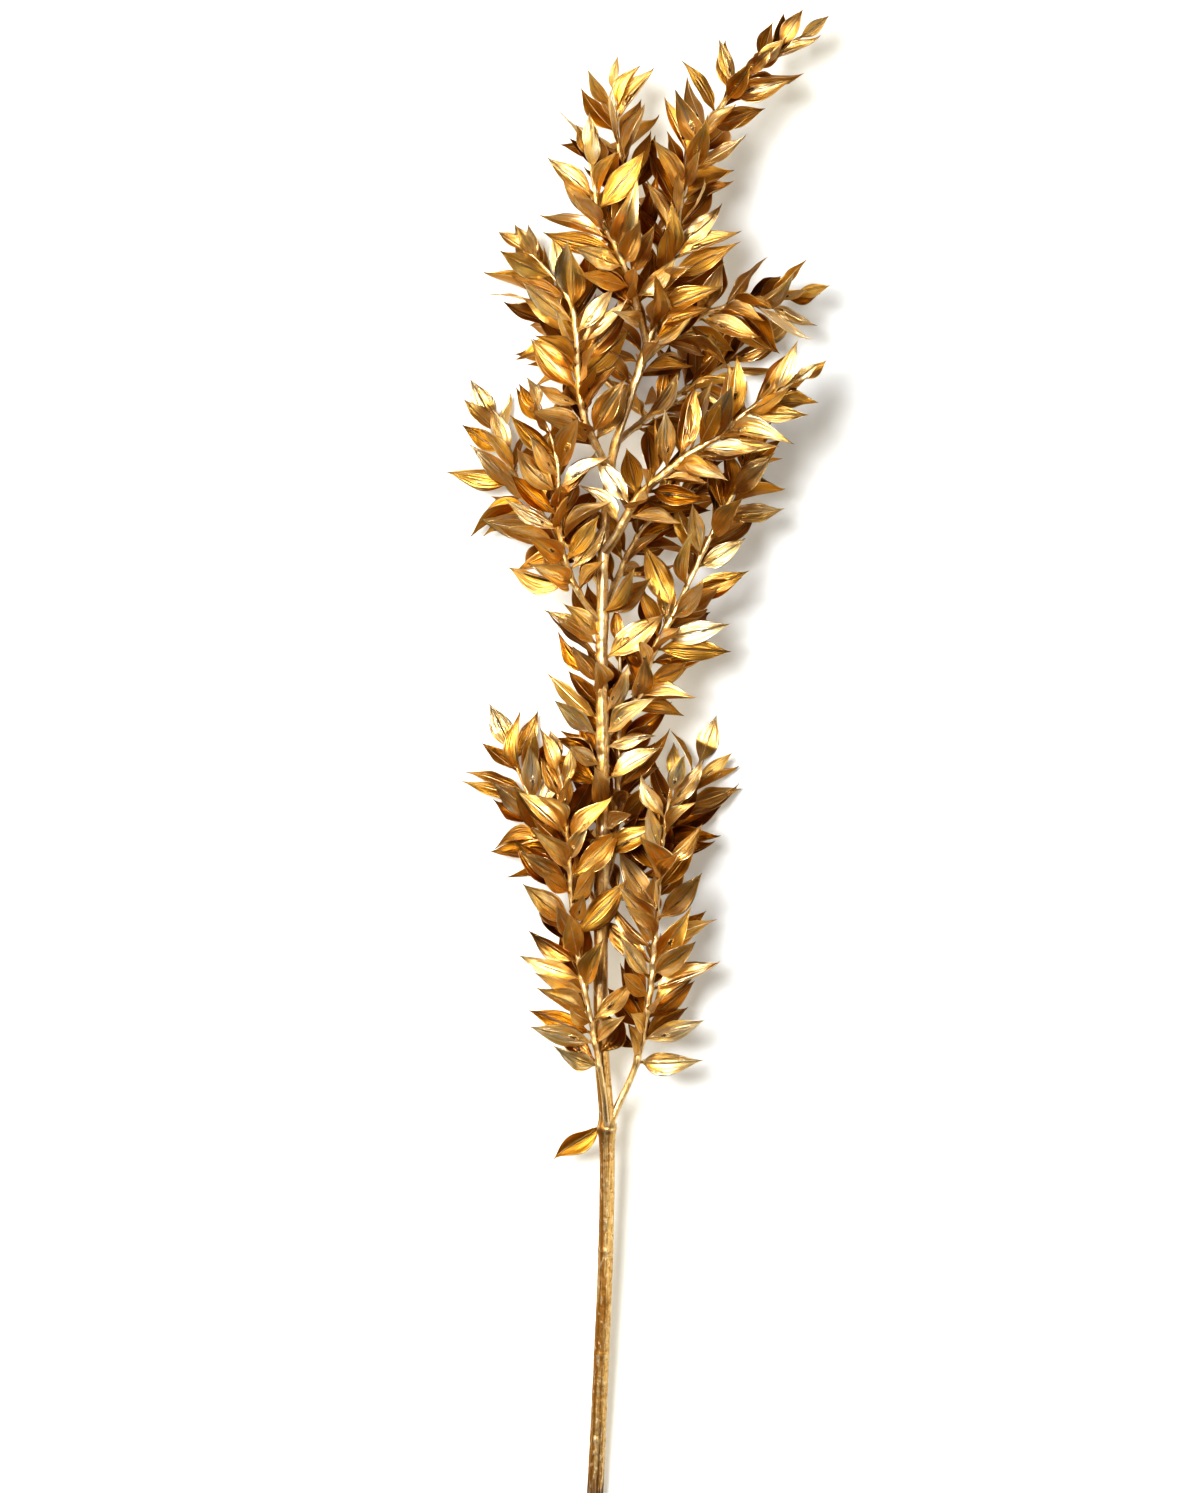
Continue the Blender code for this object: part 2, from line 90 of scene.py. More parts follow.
# Those that lie in front or show best come first, because each keeps clear of those before it
SHOOTS = (
    Shoot("shoot_right_fork", ((0, 445, 53), (5, 451, 57.5), (11, 462, 61), (18, 471, 64),
        (34, 484, 68), (49.5, 494, 70), (60, 503, 71), (71.5, 510, 71), (82, 518, 70)), (2.0, 0.7), 14, 40),
    Shoot("shoot_left_front", ((-1, 414, 51.5), (-7, 421, 55), (-13, 431, 58), (-18, 446, 61),
        (-19.5, 467, 65), (-20.5, 486, 67), (-28, 505, 68)), (1.3, 0.65), 17, 200),
    Shoot("shoot_left_top", ((3, 479, 54), (-1, 485.5, 58), (-8, 500, 63), (-11, 518, 66),
        (-12, 538, 67), (-15, 552, 67), (-24, 564, 66), (-33, 573, 65)), (1.5, 0.65), 14, 90),
    Shoot("shoot_centre_top", ((18.5, 533, 54.5), (15.5, 544, 60), (10.5, 561, 66), (3.4, 577, 70),
        (-1.7, 585, 71), (-4.3, 600, 71), (-6, 612, 70)), (1.3, 0.65), 12, 310),
    Shoot("shoot_right_long", ((-0.4, 364, 48), (9.9, 376, 47), (17, 387, 46), (20, 399, 46),
        (28, 414.5, 47), (33, 424, 48), (44, 447.5, 49), (56, 471, 48), (65, 488, 46)), (1.5, 0.65), 16, 130),
    Shoot("shoot_left_low", ((1.3, 194, 29), (0.8, 201, 36), (-0.5, 214, 42.5), (-5, 240, 46),
        (-10.5, 267, 48), (-14, 293, 50), (-15, 312, 53), (-17, 338, 56), (-20, 354, 58)),
        (1.3, 0.65), 34, 20),
    Shoot("shoot_right_low", ((1.3, 194, 29), (6.5, 206, 30), (13.5, 222, 32), (18, 243, 35),
        (21, 265, 38), (22.5, 286, 41), (24, 308, 44), (26.5, 329, 46), (29.5, 346, 47)),
        (1.6, 0.65), 33, 260),
    Shoot("shoot_right_top", ((17, 527, 54.5), (24, 533, 53), (31, 539, 51), (47.5, 549, 47),
        (67, 552, 44), (82, 556, 42)), (1.3, 0.65), 10, 75),
    Shoot("shoot_inner_top", ((27.5, 567, 54), (20, 583, 49), (13.5, 596, 47), (7.5, 612, 46),
        (5, 632, 45), (4, 643, 45)), (1.2, 0.6), 13, 160),
    Shoot("shoot_right_inner", ((-1, 417, 51.5), (3.9, 429, 44), (12, 447.5, 38), (20, 458.5, 36),
        (31, 467, 34), (43, 474, 32)), (1.3, 0.65), 17, 15),
    Shoot("shoot_behind", ((-0.9, 300, 41.5), (2.5, 308, 35), (5.2, 326, 35), (6, 348, 38), (6.6, 376, 42),
        (7, 405, 44)), (1.3, 0.65), 16, 110),
    Shoot("shoot_left_back_low", ((-1.2, 290, 40.5), (-8, 300, 33), (-20, 317, 23), (-32, 338, 13.5),
        (-41, 360, 7)), (1.4, 0.65), 15, 220, True),
    Shoot("shoot_right_back_low", ((-1.2, 286, 40), (6, 295, 30), (19, 311, 21), (32, 332, 13),
        (42, 354, 7)), (1.4, 0.65), 16, 60, True),
    Shoot("shoot_left_back", ((-0.8, 430, 52), (-10, 442, 42), (-25, 459, 28), (-39, 480, 15),
        (-49, 503, 7)), (1.4, 0.65), 16, 300, True),
    Shoot("shoot_right_back", ((4.5, 491, 54), (15, 500, 43), (31, 513, 27), (49, 526, 14),
        (67, 538, 7)), (1.4, 0.65), 16, 190, True),
    Shoot("shoot_left_back_top", ((10.5, 508, 54.5), (0, 520, 44), (-14, 535, 32), (-25, 553, 24),
        (-32, 572, 20)), (1.4, 0.65), 16, 340),
)

# Cladodes on the main stem itself: along its leafy end, and on a stretch in its middle
LEADER_START = 540 * MM
MIDDLE_START, MIDDLE_END, MIDDLE_SPACING = 330 * MM, 440 * MM, 6.0 * MM

# Shares of the full length, and degrees from the axis, from the oldest cladode of a shoot to its tip
SIZES = ((0, 0.95), (0.3, 1.06), (0.7, 1.0), (0.92, 0.82), (1, 0.66))
PITCHES = ((0, 62), (0.5, 54), (0.9, 38), (1, 10))

GOLDEN_TURN = math.radians(137.5)
SPRAY_FLATNESS = 0.72  # a dried, packed shoot is flatter than it is wide
WIDEST = 0.395  # share of the length at which a cladode is widest
STALK_SINK = 2.5 * MM  # from a shoot's tip back to its last cladode
SHOOT_ENDS = (6 * MM, 0.85), (STALK_SINK, 1.0)  # last one from the tip and its age, with a foot or without
LEADER_TURN, MIDDLE_TURN = 0.4, 2.0  # round the stem, of the first cladode there
MIDDLE_AGE = 0.4  # of the youngest there
TUBE_SIDES, EXTRA_TUBE_SIDES = 8, 5  # of the plain tubes that cladodes and the added ones keep clear of
TUBE_SPACING = 6 * MM  # between those tubes' rings
TRIALS = 48  # draws for each cladode
SEED = 7


def to_place(point_mm):
    """A route's point as a place in the model, in metres."""
    return Vector(point_mm) * MM - LAID_MIDDLE


def smooth_line(route, step):
    """Points a step apart on a smooth curve through the route's own points."""
    knots = [to_place(p) for p in route]
    ends = [2 * knots[0] - knots[1]] + knots + [2 * knots[-1] - knots[-2]]
    fine = []
    for before, a, b, after in zip(ends, ends[1:], ends[2:], ends[3:]):
        for i in range(24):
            t = i / 24
            fine.append(
                a
                + (b - before) * (0.5 * t)
                + (2 * before - 5 * a + 4 * b - after) * (0.5 * t * t)
                + (3 * a - before - 3 * b + after) * (0.5 * t**3)
            )
    fine.append(knots[-1])
    lengths = [0.0]
    for a, b in zip(fine, fine[1:]):
        lengths.append(lengths[-1] + (b - a).length)
    count = max(2, round(lengths[-1] / step))
    line, k = [], 0
    for i in range(count + 1):
        wanted = lengths[-1] * i / count
        while k < len(fine) - 2 and lengths[k + 1] < wanted:
            k += 1
        share = (wanted - lengths[k]) / (lengths[k + 1] - lengths[k])
        line.append(fine[k].lerp(fine[k + 1], share))
    return line


class Axis:
    """A smooth line with its length, and the place and direction at any distance along it."""

    def __init__(self, route):
        self.line = smooth_line(route, 1.0 * MM)
        self.step = (self.line[1] - self.line[0]).length
        self.length = self.step * (len(self.line) - 1)

    def at(self, distance):
        x = min(max(distance / self.step, 0.0), len(self.line) - 1.001)
        k = int(x)
        return self.line[k].lerp(self.line[k + 1], x - k)

    def direction(self, distance):
        return (self.at(distance + 2 * MM) - self.at(distance - 2 * MM)).normalized()


def blended(table, x):
    """Reads a table of (x, value) pairs, blending between them."""
    for (x0, y0), (x1, y1) in zip(table, table[1:]):
        if x <= x1:
            return y0 + (y1 - y0) * max(0.0, (x - x0) / (x1 - x0))
    return table[-1][1]


class Cladode:
    """One blade: its root on its axis, direction, the way it faces, its bend, sideways curve and twist.

    Its stalk is the straight first stretch. A pressed blade lies flat on the surface where it meets it.
    """

    def __init__(self, root, along, face, length, width, stalk, bend, sickle, twist, pressed=False):
        self.root = root
        self.along = along
        self.face = (face - along * face.dot(along)).normalized()
        self.side = self.face.cross(self.along)
        self.length = length
        self.width = width
        self.stalk = stalk
        self.bend = bend
        self.sickle = sickle
        self.twist = twist
        self.pressed = pressed
        self.rings = (0.24, 0.5, 0.78) if pressed else (0.26, 0.6)

    def half_width(self, u):
        """Widest at WIDEST, with a drawn out point."""
        leaf = (u / WIDEST) ** 0.85 * ((1 - u) / (1 - WIDEST)) ** 1.3
        return max(self.width / 2 * leaf, STALK_WIDTH / 2 * (1 - u))

    def at(self, u, v, swell=0.0):
        """The middle surface's point, u along and v across from -1 to 1, and its normal."""
        middle = self.along * u + (self.face * self.bend + self.side * self.sickle) * (u * u / 2)
        turn = self.twist * u
        across = self.side * math.cos(turn) + self.face * math.sin(turn)
        up = self.face * math.cos(turn) - self.side * math.sin(turn)
        point = self.root + middle * self.length + across * (v * (self.half_width(u) + swell))
        normal = (up - self.along * (self.bend * u)).normalized()
        if self.pressed and point.z < BLADE_THICKNESS / 2:
            point.z = BLADE_THICKNESS / 2
            normal = Vector((0, 0, 1))
        return point, normal

    def mesh(self, start=0.0, end=None, rings=None, swell=0.0):
        """Corners and faces of the closed blade.

        It is a straight stalk between two distances from the root, then four-cornered
        rings at these shares of the length, then one tip.
        """
        half = BLADE_THICKNESS / 2 + swell
        side = self.side * (STALK_WIDTH / 2 + swell)
        corners = []
        for distance in (start, end or self.stalk):
            middle = self.root + self.along * distance
            corners += [middle + a * side + b * half * self.face for a in (-1, 1) for b in (1, -1)]
        for u in rings or self.rings:
            for v in (-1, 1):
                point, normal = self.at(u, v, swell)
                corners += [point + normal * half, point - normal * half]
        faces = [(0, 1, 3, 2), (0, 2, 6, 4), (3, 1, 5, 7), (1, 0, 4, 5), (2, 3, 7, 6)]
        tip = len(corners)
        corners.append(self.at(1.0, 0)[0])
        for a in range(4, tip - 4, 4):
            b = a + 4
            faces += [(a, a + 2, b + 2), (a, b + 2, b), (a + 3, a + 1, b + 3), (a + 1, b + 1, b + 3)]
            faces += [(a + 1, a, b, b + 1), (a + 2, a + 3, b + 3, b + 2)]
        a = tip - 4
        faces += [(a, a + 2, tip), (a + 3, a + 1, tip), (a + 1, a, tip), (a + 2, a + 3, tip)]
        return corners, faces


class Thing:
    """Something that cladodes keep clear of, with a ball round it for a quick first test."""

    def __init__(self, corners, faces, owner, is_blade=True):
        self.tree = BVHTree.FromPolygons(corners, faces)
        self.is_blade = is_blade
        low = Vector([min(c[i] for c in corners) for i in range(3)])
        high = Vector([max(c[i] for c in corners) for i in range(3)])
        self.middle = (low + high) / 2
        self.reach = (high - low).length / 2
        self.owner = owner

    def meets(self, other):
        near = (self.middle - other.middle).length < self.reach + other.reach
        return near and bool(self.tree.overlap(other.tree))


def even_steps(end, step):
    """Distances from 0 to the end, about a step apart."""
    count = max(2, round(end / step))
    return [end * i / count for i in range(count + 1)]


def tube_mesh(axis, radius_at, sides, distances):
    """Corners and faces of a closed tube along an axis, its corners no lower than the surface."""
    corners = []
    side = axis.direction(0.0).cross(Vector((0, 0, 1))).normalized()
    for distance in distances:
        along = axis.direction(distance)
        side = (side - along * side.dot(along)).normalized()
        up = side.cross(along)
        radius = radius_at(distance)
        for k in range(sides):
            turn = math.tau * (k + 0.5) / sides
            corner = axis.at(distance) + (side * math.cos(turn) + up * math.sin(turn)) * radius
            corner.z = max(corner.z, 0.0)
            corners.append(corner)
    last = len(corners) - sides
    faces = [tuple(range(sides)), tuple(reversed(range(last, len(corners))))]
    for ring in range(0, last, sides):
        for k in range(sides):
            a, b = ring + k, ring + (k + 1) % sides
            faces.append((a, a + sides, b + sides, b))
    return corners, faces


def bell(offset, reach):
    """1 at no offset, easing to 0 some way past the reach."""
    return math.exp(-((offset / reach) ** 2))


def main_radius(distance):
    """The main stem's radius: it tapers, and swells a little where shoots leave it."""
    radius = STEM_RADIUS * blended(MAIN_RADII, distance / MM)
    swelling = max(bell(distance - d, SWELLING_REACH) for d in JOINTS)
    return radius + SWELLING * swelling * radius / STEM_RADIUS


def shoot_radius(shoot, axis):
    """A shoot's radius at a distance along it, a little wider at its base."""
    base, tip = shoot.radii

    def radius_at(distance):
        flare = 1 + 0.35 * math.exp(-distance / (7 * MM))
        return (base + (tip - base) * distance / axis.length) * MM * flare

    return radius_at


def nearest_distance(axis, place):
    """How far along an axis a place lies."""
    return min(range(len(axis.line)), key=lambda k: (axis.line[k] - place).length) * axis.step


MAIN = Axis(MAIN_ROUTE)
JOINTS = sorted(nearest_distance(MAIN, to_place(shoot.route[0])) for shoot in SHOOTS)


def drawn_cladode(axis, radius, distance, turn, age, draw, ease):
    """A cladode at a distance along an axis, turned round it.

    Its age runs from 0, the oldest, to 1, the one at the tip. ease, from 0 to 1, lets a draw stray.
    """
    along = axis.direction(distance)
    up = (Vector((0, 0, 1)) - along * along.z).normalized()
    side = along.cross(up)
    turn += draw.gauss(0, 0.12) + draw.uniform(-1.3, 1.3) * ease
    out = (side * math.cos(turn) + up * (math.sin(turn) * SPRAY_FLATNESS)).normalized()
    pitch = math.radians(blended(PITCHES, age) + draw.gauss(0, 6) + draw.uniform(-26, 14) * ease)
    direction = along * math.cos(pitch) + out * math.sin(pitch)
    face = up * 0.9 + along * 0.3 - out * 0.25
    face = (face - direction * face.dot(direction)).normalized()
    roll = math.radians(draw.gauss(0, 20) + draw.uniform(-55, 55) * ease)
    face = face * math.cos(roll) + direction.cross(face) * math.sin(roll)
    length = CLADODE_LENGTH * blended(SIZES, age) * draw.uniform(0.84, 1.14)
    length *= 1 - 0.28 * ease * draw.random()
    width = length * CLADODE_WIDTH_SHARE * draw.uniform(0.88, 1.12)
    toward_tip = 1 if face.cross(direction).dot(along) > 0 else -1
    stalk = min(
        (radius + 0.9 * MM) / max(math.sin(pitch), 0.3),
        (axis.length - distance + 1.0 * MM) / max(math.cos(pitch), 0.3),
    )
    bend = draw.gauss(-0.14, 0.24)
    sickle = toward_tip * draw.uniform(-0.04, 0.32)
    twist = draw.gauss(0, 0.32)
    return Cladode(axis.at(distance), direction, face, length, width, stalk, bend, sickle, twist)


def foot_cladode(axis):
    """The cladode at the tip of a low shoot, which lies flat on the surface from its middle on."""
    distance = axis.length - STALK_SINK
    root = axis.at(distance)
    ahead = axis.direction(distance)
    fall = (root.z - BLADE_THICKNESS / 2) / (0.42 * FOOT_LENGTH)
    along = Vector((ahead.x, ahead.y, 0)).normalized() * math.sqrt(1 - fall * fall) - Vector((0, 0, fall))
    width = FOOT_LENGTH * CLADODE_WIDTH_SHARE
    return Cladode(root, along, Vector((0, 0, 1)), FOOT_LENGTH, width, 3.6 * MM, 0, 0.1, 0, pressed=True)


def is_clear(cladode, owner, things):
    """Does it keep clear of the surface and of everything that is there already?

    From where it leaves the bark it keeps clear of the others, and its outer part of its own axis too.
    """
    if min(cladode.at(u, v)[0].z for u in (0.4, 0.7, 1) for v in (-1, 1)) < FLOOR_SPACE:
        return False
    start = max(cladode.stalk - 0.6 * MM, 0)
    guard = Thing(*cladode.mesh(start, swell=FREE_SPACE), owner)
    if any(guard.meets(t) for t in things if t.owner != owner or t.is_blade):
        return False
    start, end = 0.3 * cladode.length, 0.34 * cladode.length
    outer = Thing(*cladode.mesh(start, end, (0.6,), FREE_SPACE), owner)
    return not any(outer.meets(t) for t in things if t.owner == owner and not t.is_blade)


def grow_cladodes(name, laid, places, turn, things, draw):
    """Adds cladodes to an axis at these places, each the first draw that is clear of all the others."""
    axis, radius_at, cladodes = laid[name]
    for distance, age in places:
        turn += GOLDEN_TURN
        for trial in range(TRIALS):
            tried = drawn_cladode(axis, radius_at(distance), distance, turn, age, draw, trial / TRIALS)
            if is_clear(tried, name, things):
                things.append(Thing(*tried.mesh(), name))
                cladodes.append(tried)
                break


def places_along(start, end, spacing, youngest=1.0):
    """Distances from start to end, about a spacing apart, each with its cladode's age."""
    count = max(3, round((end - start) / spacing))
    return [(start + (end - start) * i / (count - 1), youngest * i / (count - 1)) for i in range(count)]


def grow_shoots(laid, bare, spacing, ends, turn, things, draw):
    """Adds cladodes along every shoot, with its bare stretch and its turn so many mm and degrees more."""
    for shoot in SHOOTS:
        axis = laid[shoot.name][0]
        left, youngest = ends[0] if shoot.has_foot else ends[1]
        places = places_along((shoot.bare + bare) * MM, axis.length - left, spacing, youngest)
        grow_cladodes(shoot.name, laid, places, math.radians(shoot.turn + turn), things, draw)


def plain_things(laid, sides):
    """Every axis's plain tube and plain blades."""
    things = []
    for name, (axis, radius_at, cladodes) in laid.items():
        tube = tube_mesh(axis, radius_at, sides, even_steps(axis.length, TUBE_SPACING))
        things.append(Thing(*tube, name, is_blade=False))
        things += [Thing(*c.mesh(), name) for c in cladodes]
    return things


def lay_out():
    """Every axis with its cladodes, as {name: (axis, radius_at, cladodes)}."""
    draw = random.Random(SEED)
    laid = {"main_stem": (MAIN, main_radius, [])}
    for shoot in SHOOTS:
        axis = Axis(shoot.route)
        laid[shoot.name] = (axis, shoot_radius(shoot, axis), [foot_cladode(axis)] if shoot.has_foot else [])
    things = plain_things(laid, TUBE_SIDES)
    leader = places_along(LEADER_START, MAIN.length - STALK_SINK, CLADODE_SPACING)
    grow_cladodes("main_stem", laid, leader, LEADER_TURN, things, draw)
    grow_shoots(laid, 0, CLADODE_SPACING, SHOOT_ENDS, 0, things, draw)
    middle = places_along(MIDDLE_START, MIDDLE_END, MIDDLE_SPACING, MIDDLE_AGE)
    grow_cladodes("main_stem", laid, middle, MIDDLE_TURN, things, draw)
    return laid


# Fine shapes
BLADE_SIDES = 12  # round a cladode's section, so that one corner lies on each side's middle rib
BLADE_RINGS = 20
FINE_THICKNESS = 0.45 * MM
SLIMNESS = 0.87  # of a fine cladode: its width against its plain one's
STALK_THICKNESS = 0.9 * MM
STALK_BLEND = 0.4 * MM  # over which the stalk's edge eases into the blade's
BASE_POWER, TIP_POWER = 1.2, 1.6  # of the outline, below and above its widest place
BLADE_DRAWS = (  # what varies from blade to blade, and the ends that it is drawn between
    ("fold", -0.3, 1.4), ("cup", -1.0, 1.0), ("wave", 0.0, 0.15), ("phase", 0.0, 6.28),
    ("hook", -0.25, 0.4), ("tone", 0.0, 1.0), ("mark", 0.0, 1.0), ("ends", 0.0, 1.0),
)
RIPPLES = 15.0  # radians of wave from a blade's root to its tip
MEASURES = (  # of a cladode, which the point that it grows on carries
    "root", "along", "face", "side", "length", "width", "stalk", "bend", "sickle", "twist",
)
GROWTH_SEED = 11

# Cladodes that only the looks have
EXTRA_SPACING = 4.2 * MM
EXTRA_BARE = 1.5  # mm more than the plain part's bare first stretch
EXTRA_ENDS = (9 * MM, 0.8), (4 * MM, 0.97)  # as in SHOOT_ENDS
EXTRA_TURN = 90  # degrees round the shoot from the plain ones
EXTRA_LEADER_TURN, EXTRA_MIDDLE_TURN = 2.2, 0.8
FRONT_START, FRONT_END = 245 * MM, 445 * MM  # of the stretch where the stem shows from above
FRONT_WIDTH = 0.7  # of the space over it that these cladodes leave free: its share of the stem's
FRONT_HEIGHT = 60 * MM
LOW_LEAF_AT = 219 * MM  # along the stem: one broad cladode hangs back from the lowest shoots' joint
LOW_LEAF_LENGTH, LOW_LEAF_WIDTH = 27 * MM, 11 * MM
LOW_LEAF_ALONG, LOW_LEAF_FACING = (-0.85, -0.48, -0.18), (0.05, -0.4, 0.9)
SCALE_LEAF_LENGTH = 4.2 * MM  # the small dry leaf under each cladode
BRACT_LENGTH = 8.0 * MM  # the dry leaf under each shoot

# Twigs and bark
TWIG_SIDES, BARK_SIDES = 14, 40
TWIG_RIDGES, BARK_RIDGES = 0.12 * MM, 0.42 * MM
NODE_SWELLING, NODE_REACH = 0.28, 1.5 * MM  # of a twig at each cladode: share of its radius, and length
NODE_LEAN = 0.3 * MM  # of a twig toward each cladode that leaves it
THICK_TWIG = 1.2 * MM  # radius from which on a twig swells and leans less
RING_MARKS = (  # on the stem: mm along it, and height
    (34, 0.5), (79, 0.55), (117, 0.45), (163, 0.6), (206, 0.4), (217, 1.25),
)
RING_REACH = 0.9 * MM
RING_SWELLING = 0.04  # share of the stem's radius
LIP_HEIGHT = 0.26 * MM  # of a ring mark's broken lip
WOUND_START, WOUND_END = 50 * MM, 86 * MM  # a dry crack in the bark near the foot
WOUND_DEPTH, WOUND_FADE = 0.75 * MM, 4 * MM
WOUND_FACING = (0.3, 0.0, 0.95)
BARE_FOOT = 62 * MM  # the paint ends raggedly about here
CUT_PROFILE = (  # of the cut face: mm out from the axis's start, and share of the radius
    (-0.6, 0.9), (0.1, 0.9), (0.16, 0.8), (0.08, 0.5), (0.0, 0.2),
)

# Where the paint is thin, and where cladodes are darkened as painted shade
SHELTER_REACH = 13 * MM  # of the ball above a cladode in which others keep paint and light from it
SHELTER_FULL = 5  # cladodes in that ball
THIN_PAINT_AND_SHADE = (  # stretches of the stem, and how dark their cladodes turn: painted shade at the lowest shoots' joint, where the low leaf hangs, and thin paint at the tip
    (216 * MM, 222 * MM, 0.4),
    (655 * MM, 740 * MM, 0.5),
)

# Gold paint, in linear colours
PALE_GOLD = (0.97, 0.875, 0.73)
MID_GOLD = (0.93, 0.68, 0.27)
# Amber where the paint is thin, also painted shade at blade feet, on undersides and in shelter
THIN_AND_SHADED_GOLD = (0.78, 0.495, 0.135)
# Deep amber of painted shade on sheltered cladodes, standing also for thinner paint there
DEEP_GOLD = (0.40, 0.175, 0.010)
BARK_GOLD = (0.70, 0.53, 0.30)
DULL_GOLD = (0.40, 0.22, 0.07)
FOOT_BROWN = (0.20, 0.12, 0.06)
DRY_BROWN = (0.10, 0.05, 0.02)
PITH = (0.55, 0.42, 0.26)
BLADE_RELIEF, BARK_RELIEF, PITH_RELIEF = 0.6 * MM, 0.4 * MM, 0.2 * MM
BLADE_COAT, COAT_ROUGHNESS = 0.1, 0.3

# Photograph
IMAGE_WIDTH, IMAGE_HEIGHT = 1200, 1493
PIXEL = 0.43 * MM  # at the height of the leafy end
STEM_FOOT_PIXEL = 604  # column at which the route's across is 0
ROUTE_AT_FOOT = 40 * MM  # route's along at the picture's lower edge
FOCUS_HEIGHT = 50 * MM
CAMERA_DISTANCE = 2.2
SENSOR_HEIGHT = 24.0  # mm

# Studio
COOL_WHITE, WARM_WHITE, WHITE = (0.93, 0.97, 1.0), (1.0, 0.905, 0.68), (1.0, 1.0, 1.0)
BUNCH_MIDDLE = (0, 0.05, 0.03)
LIGHTS = (  # name, place and aim, width in metres, watts, colour
    ("key", (-0.55, 0.28, 2.15), BUNCH_MIDDLE, 0.6, 32.0, COOL_WHITE),
    ("window", (-1.9, 0.9, 1.25), BUNCH_MIDDLE, 1.4, 24.0, WARM_WHITE),
    ("fill", (1.9, -0.5, 1.15), BUNCH_MIDDLE, 1.4, 11.0, WARM_WHITE),
    ("overhead", (0.0, 0.0, 3.0), (0, 0, 0), 3.0, 5.0, WHITE),
)
FLOOR_REACH = 6.0
FLOOR_DROP = 0.2 * MM  # below what lies on it
FLOOR_TONE = 0.72
FLOOR_GLOW, NEAR_GLOW = 0.7, (0.2, 0.2, 0.2)  # far out, and its share near the stem
GLOW_START, GLOW_END = 0.8, 2.8  # metres from the stem
WORLD_TONE = (0.03, 0.03, 0.03, 1.0)
EXPOSURE = 0.06


class Wire:
    """One output of a node. Python's operators on it add Math and Vector Math nodes."""

    def __init__(self, nodes, socket):
        self.nodes = nodes
        self.socket = socket

    def is_vector(self):
        return self.socket.type == "VECTOR"

    def work(self, operation, *others, flipped=False):
        terms = [self, *others]
        if flipped:
            terms.reverse()
        if any(isinstance(t, Wire) and t.is_vector() for t in terms):
            return self.nodes.vector_maths(operation, *terms)
        return self.nodes.maths(operation, *terms)

    def __add__(self, other):
        return self.work("ADD", other)

    def __radd__(self, other):
        return self.work("ADD", other, flipped=True)

    def __sub__(self, other):
        return self.work("SUBTRACT", other)

    def __rsub__(self, other):
        return self.work("SUBTRACT", other, flipped=True)

    def __mul__(self, other):
        if self.is_vector() and not (isinstance(other, Wire) and other.is_vector()):
            return self.nodes.add("ShaderNodeVectorMath", {0: self, 3: other}, operation="SCALE")
        if isinstance(other, Wire) and other.is_vector() and not self.is_vector():
            return other * self
        return self.work("MULTIPLY", other)

    def __rmul__(self, other):
        return self * other

    def __truediv__(self, other):
        return self.work("DIVIDE", other)

    def __rtruediv__(self, other):
        return self.work("DIVIDE", other, flipped=True)

    def __pow__(self, other):
        return self.work("POWER", other)

    def __neg__(self):
        return self * -1.0

    def __abs__(self):
        return self.nodes.maths("ABSOLUTE", self)

    def step(self, low, high, bottom=0.0, top=1.0):
        """Eases from bottom to top while this goes from low to high."""
        ends = {0: self, 1: low, 2: high, 3: bottom, 4: top}
        return self.nodes.add("ShaderNodeMapRange", ends, interpolation_type="SMOOTHSTEP")

    def sharpened(self, power):
        """A draw from -1 to 1, gathered round 0."""
        return self.nodes.maths("SIGN", self) * abs(self) ** power

    def bump_at(self, middle, reach):
        """1 at the middle, easing to 0 at the reach to each side."""
        return abs(self - middle).step(0.0, reach, 1.0, 0.0)


class Nodes:
    """A node tree under construction."""

    def __init__(self, tree):
        self.tree = tree

    def add(self, kind, inputs=None, output=0, **settings):
        """A node of that kind, with its settings, and its sockets' values or links."""
        node = self.tree.nodes.new(kind)
        for name, value in settings.items():
            setattr(node, name, value)
        for key, value in (inputs or {}).items():
            if isinstance(value, Wire):
                self.tree.links.new(value.socket, node.inputs[key])
            else:
                node.inputs[key].default_value = value
        return Wire(self, node.outputs[output])

    def maths(self, operation, *terms):
        return self.add("ShaderNodeMath", dict(enumerate(terms)), operation=operation)

    def vector_maths(self, operation, *terms, output=0):
        return self.add("ShaderNodeVectorMath", dict(enumerate(terms)), output, operation=operation)

    def vector(self, x, y, z):
        return self.add("ShaderNodeCombineXYZ", {0: x, 1: y, 2: z})

    def parts(self, vector):
        return [self.add("ShaderNodeSeparateXYZ", {0: vector}, k) for k in range(3)]

    def mix(self, share, a, b):
        """Blends two colours, each a wire or three numbers."""
        a, b = ((*c, 1.0) if isinstance(c, tuple) else c for c in (a, b))
        return self.add("ShaderNodeMix", {0: share, 6: a, 7: b}, 2, data_type="RGBA")

    def attribute(self, name):
        """The three numbers that a mesh carries under this name, in a material."""
        return self.parts(self.add("ShaderNodeAttribute", output=1, attribute_name=name))

    def noise(self, place, scale, detail=2.0, roughness=0.5):
        inputs = {"Vector": place, "Scale": scale, "Detail": detail, "Roughness": roughness}
        return self.add("ShaderNodeTexNoise", inputs)


def placed(name, data):
    """A new object in the scene, with this mesh, light or camera."""
    new = bpy.data.objects.new(name, data)
    bpy.context.scene.collection.objects.link(new)
    return new


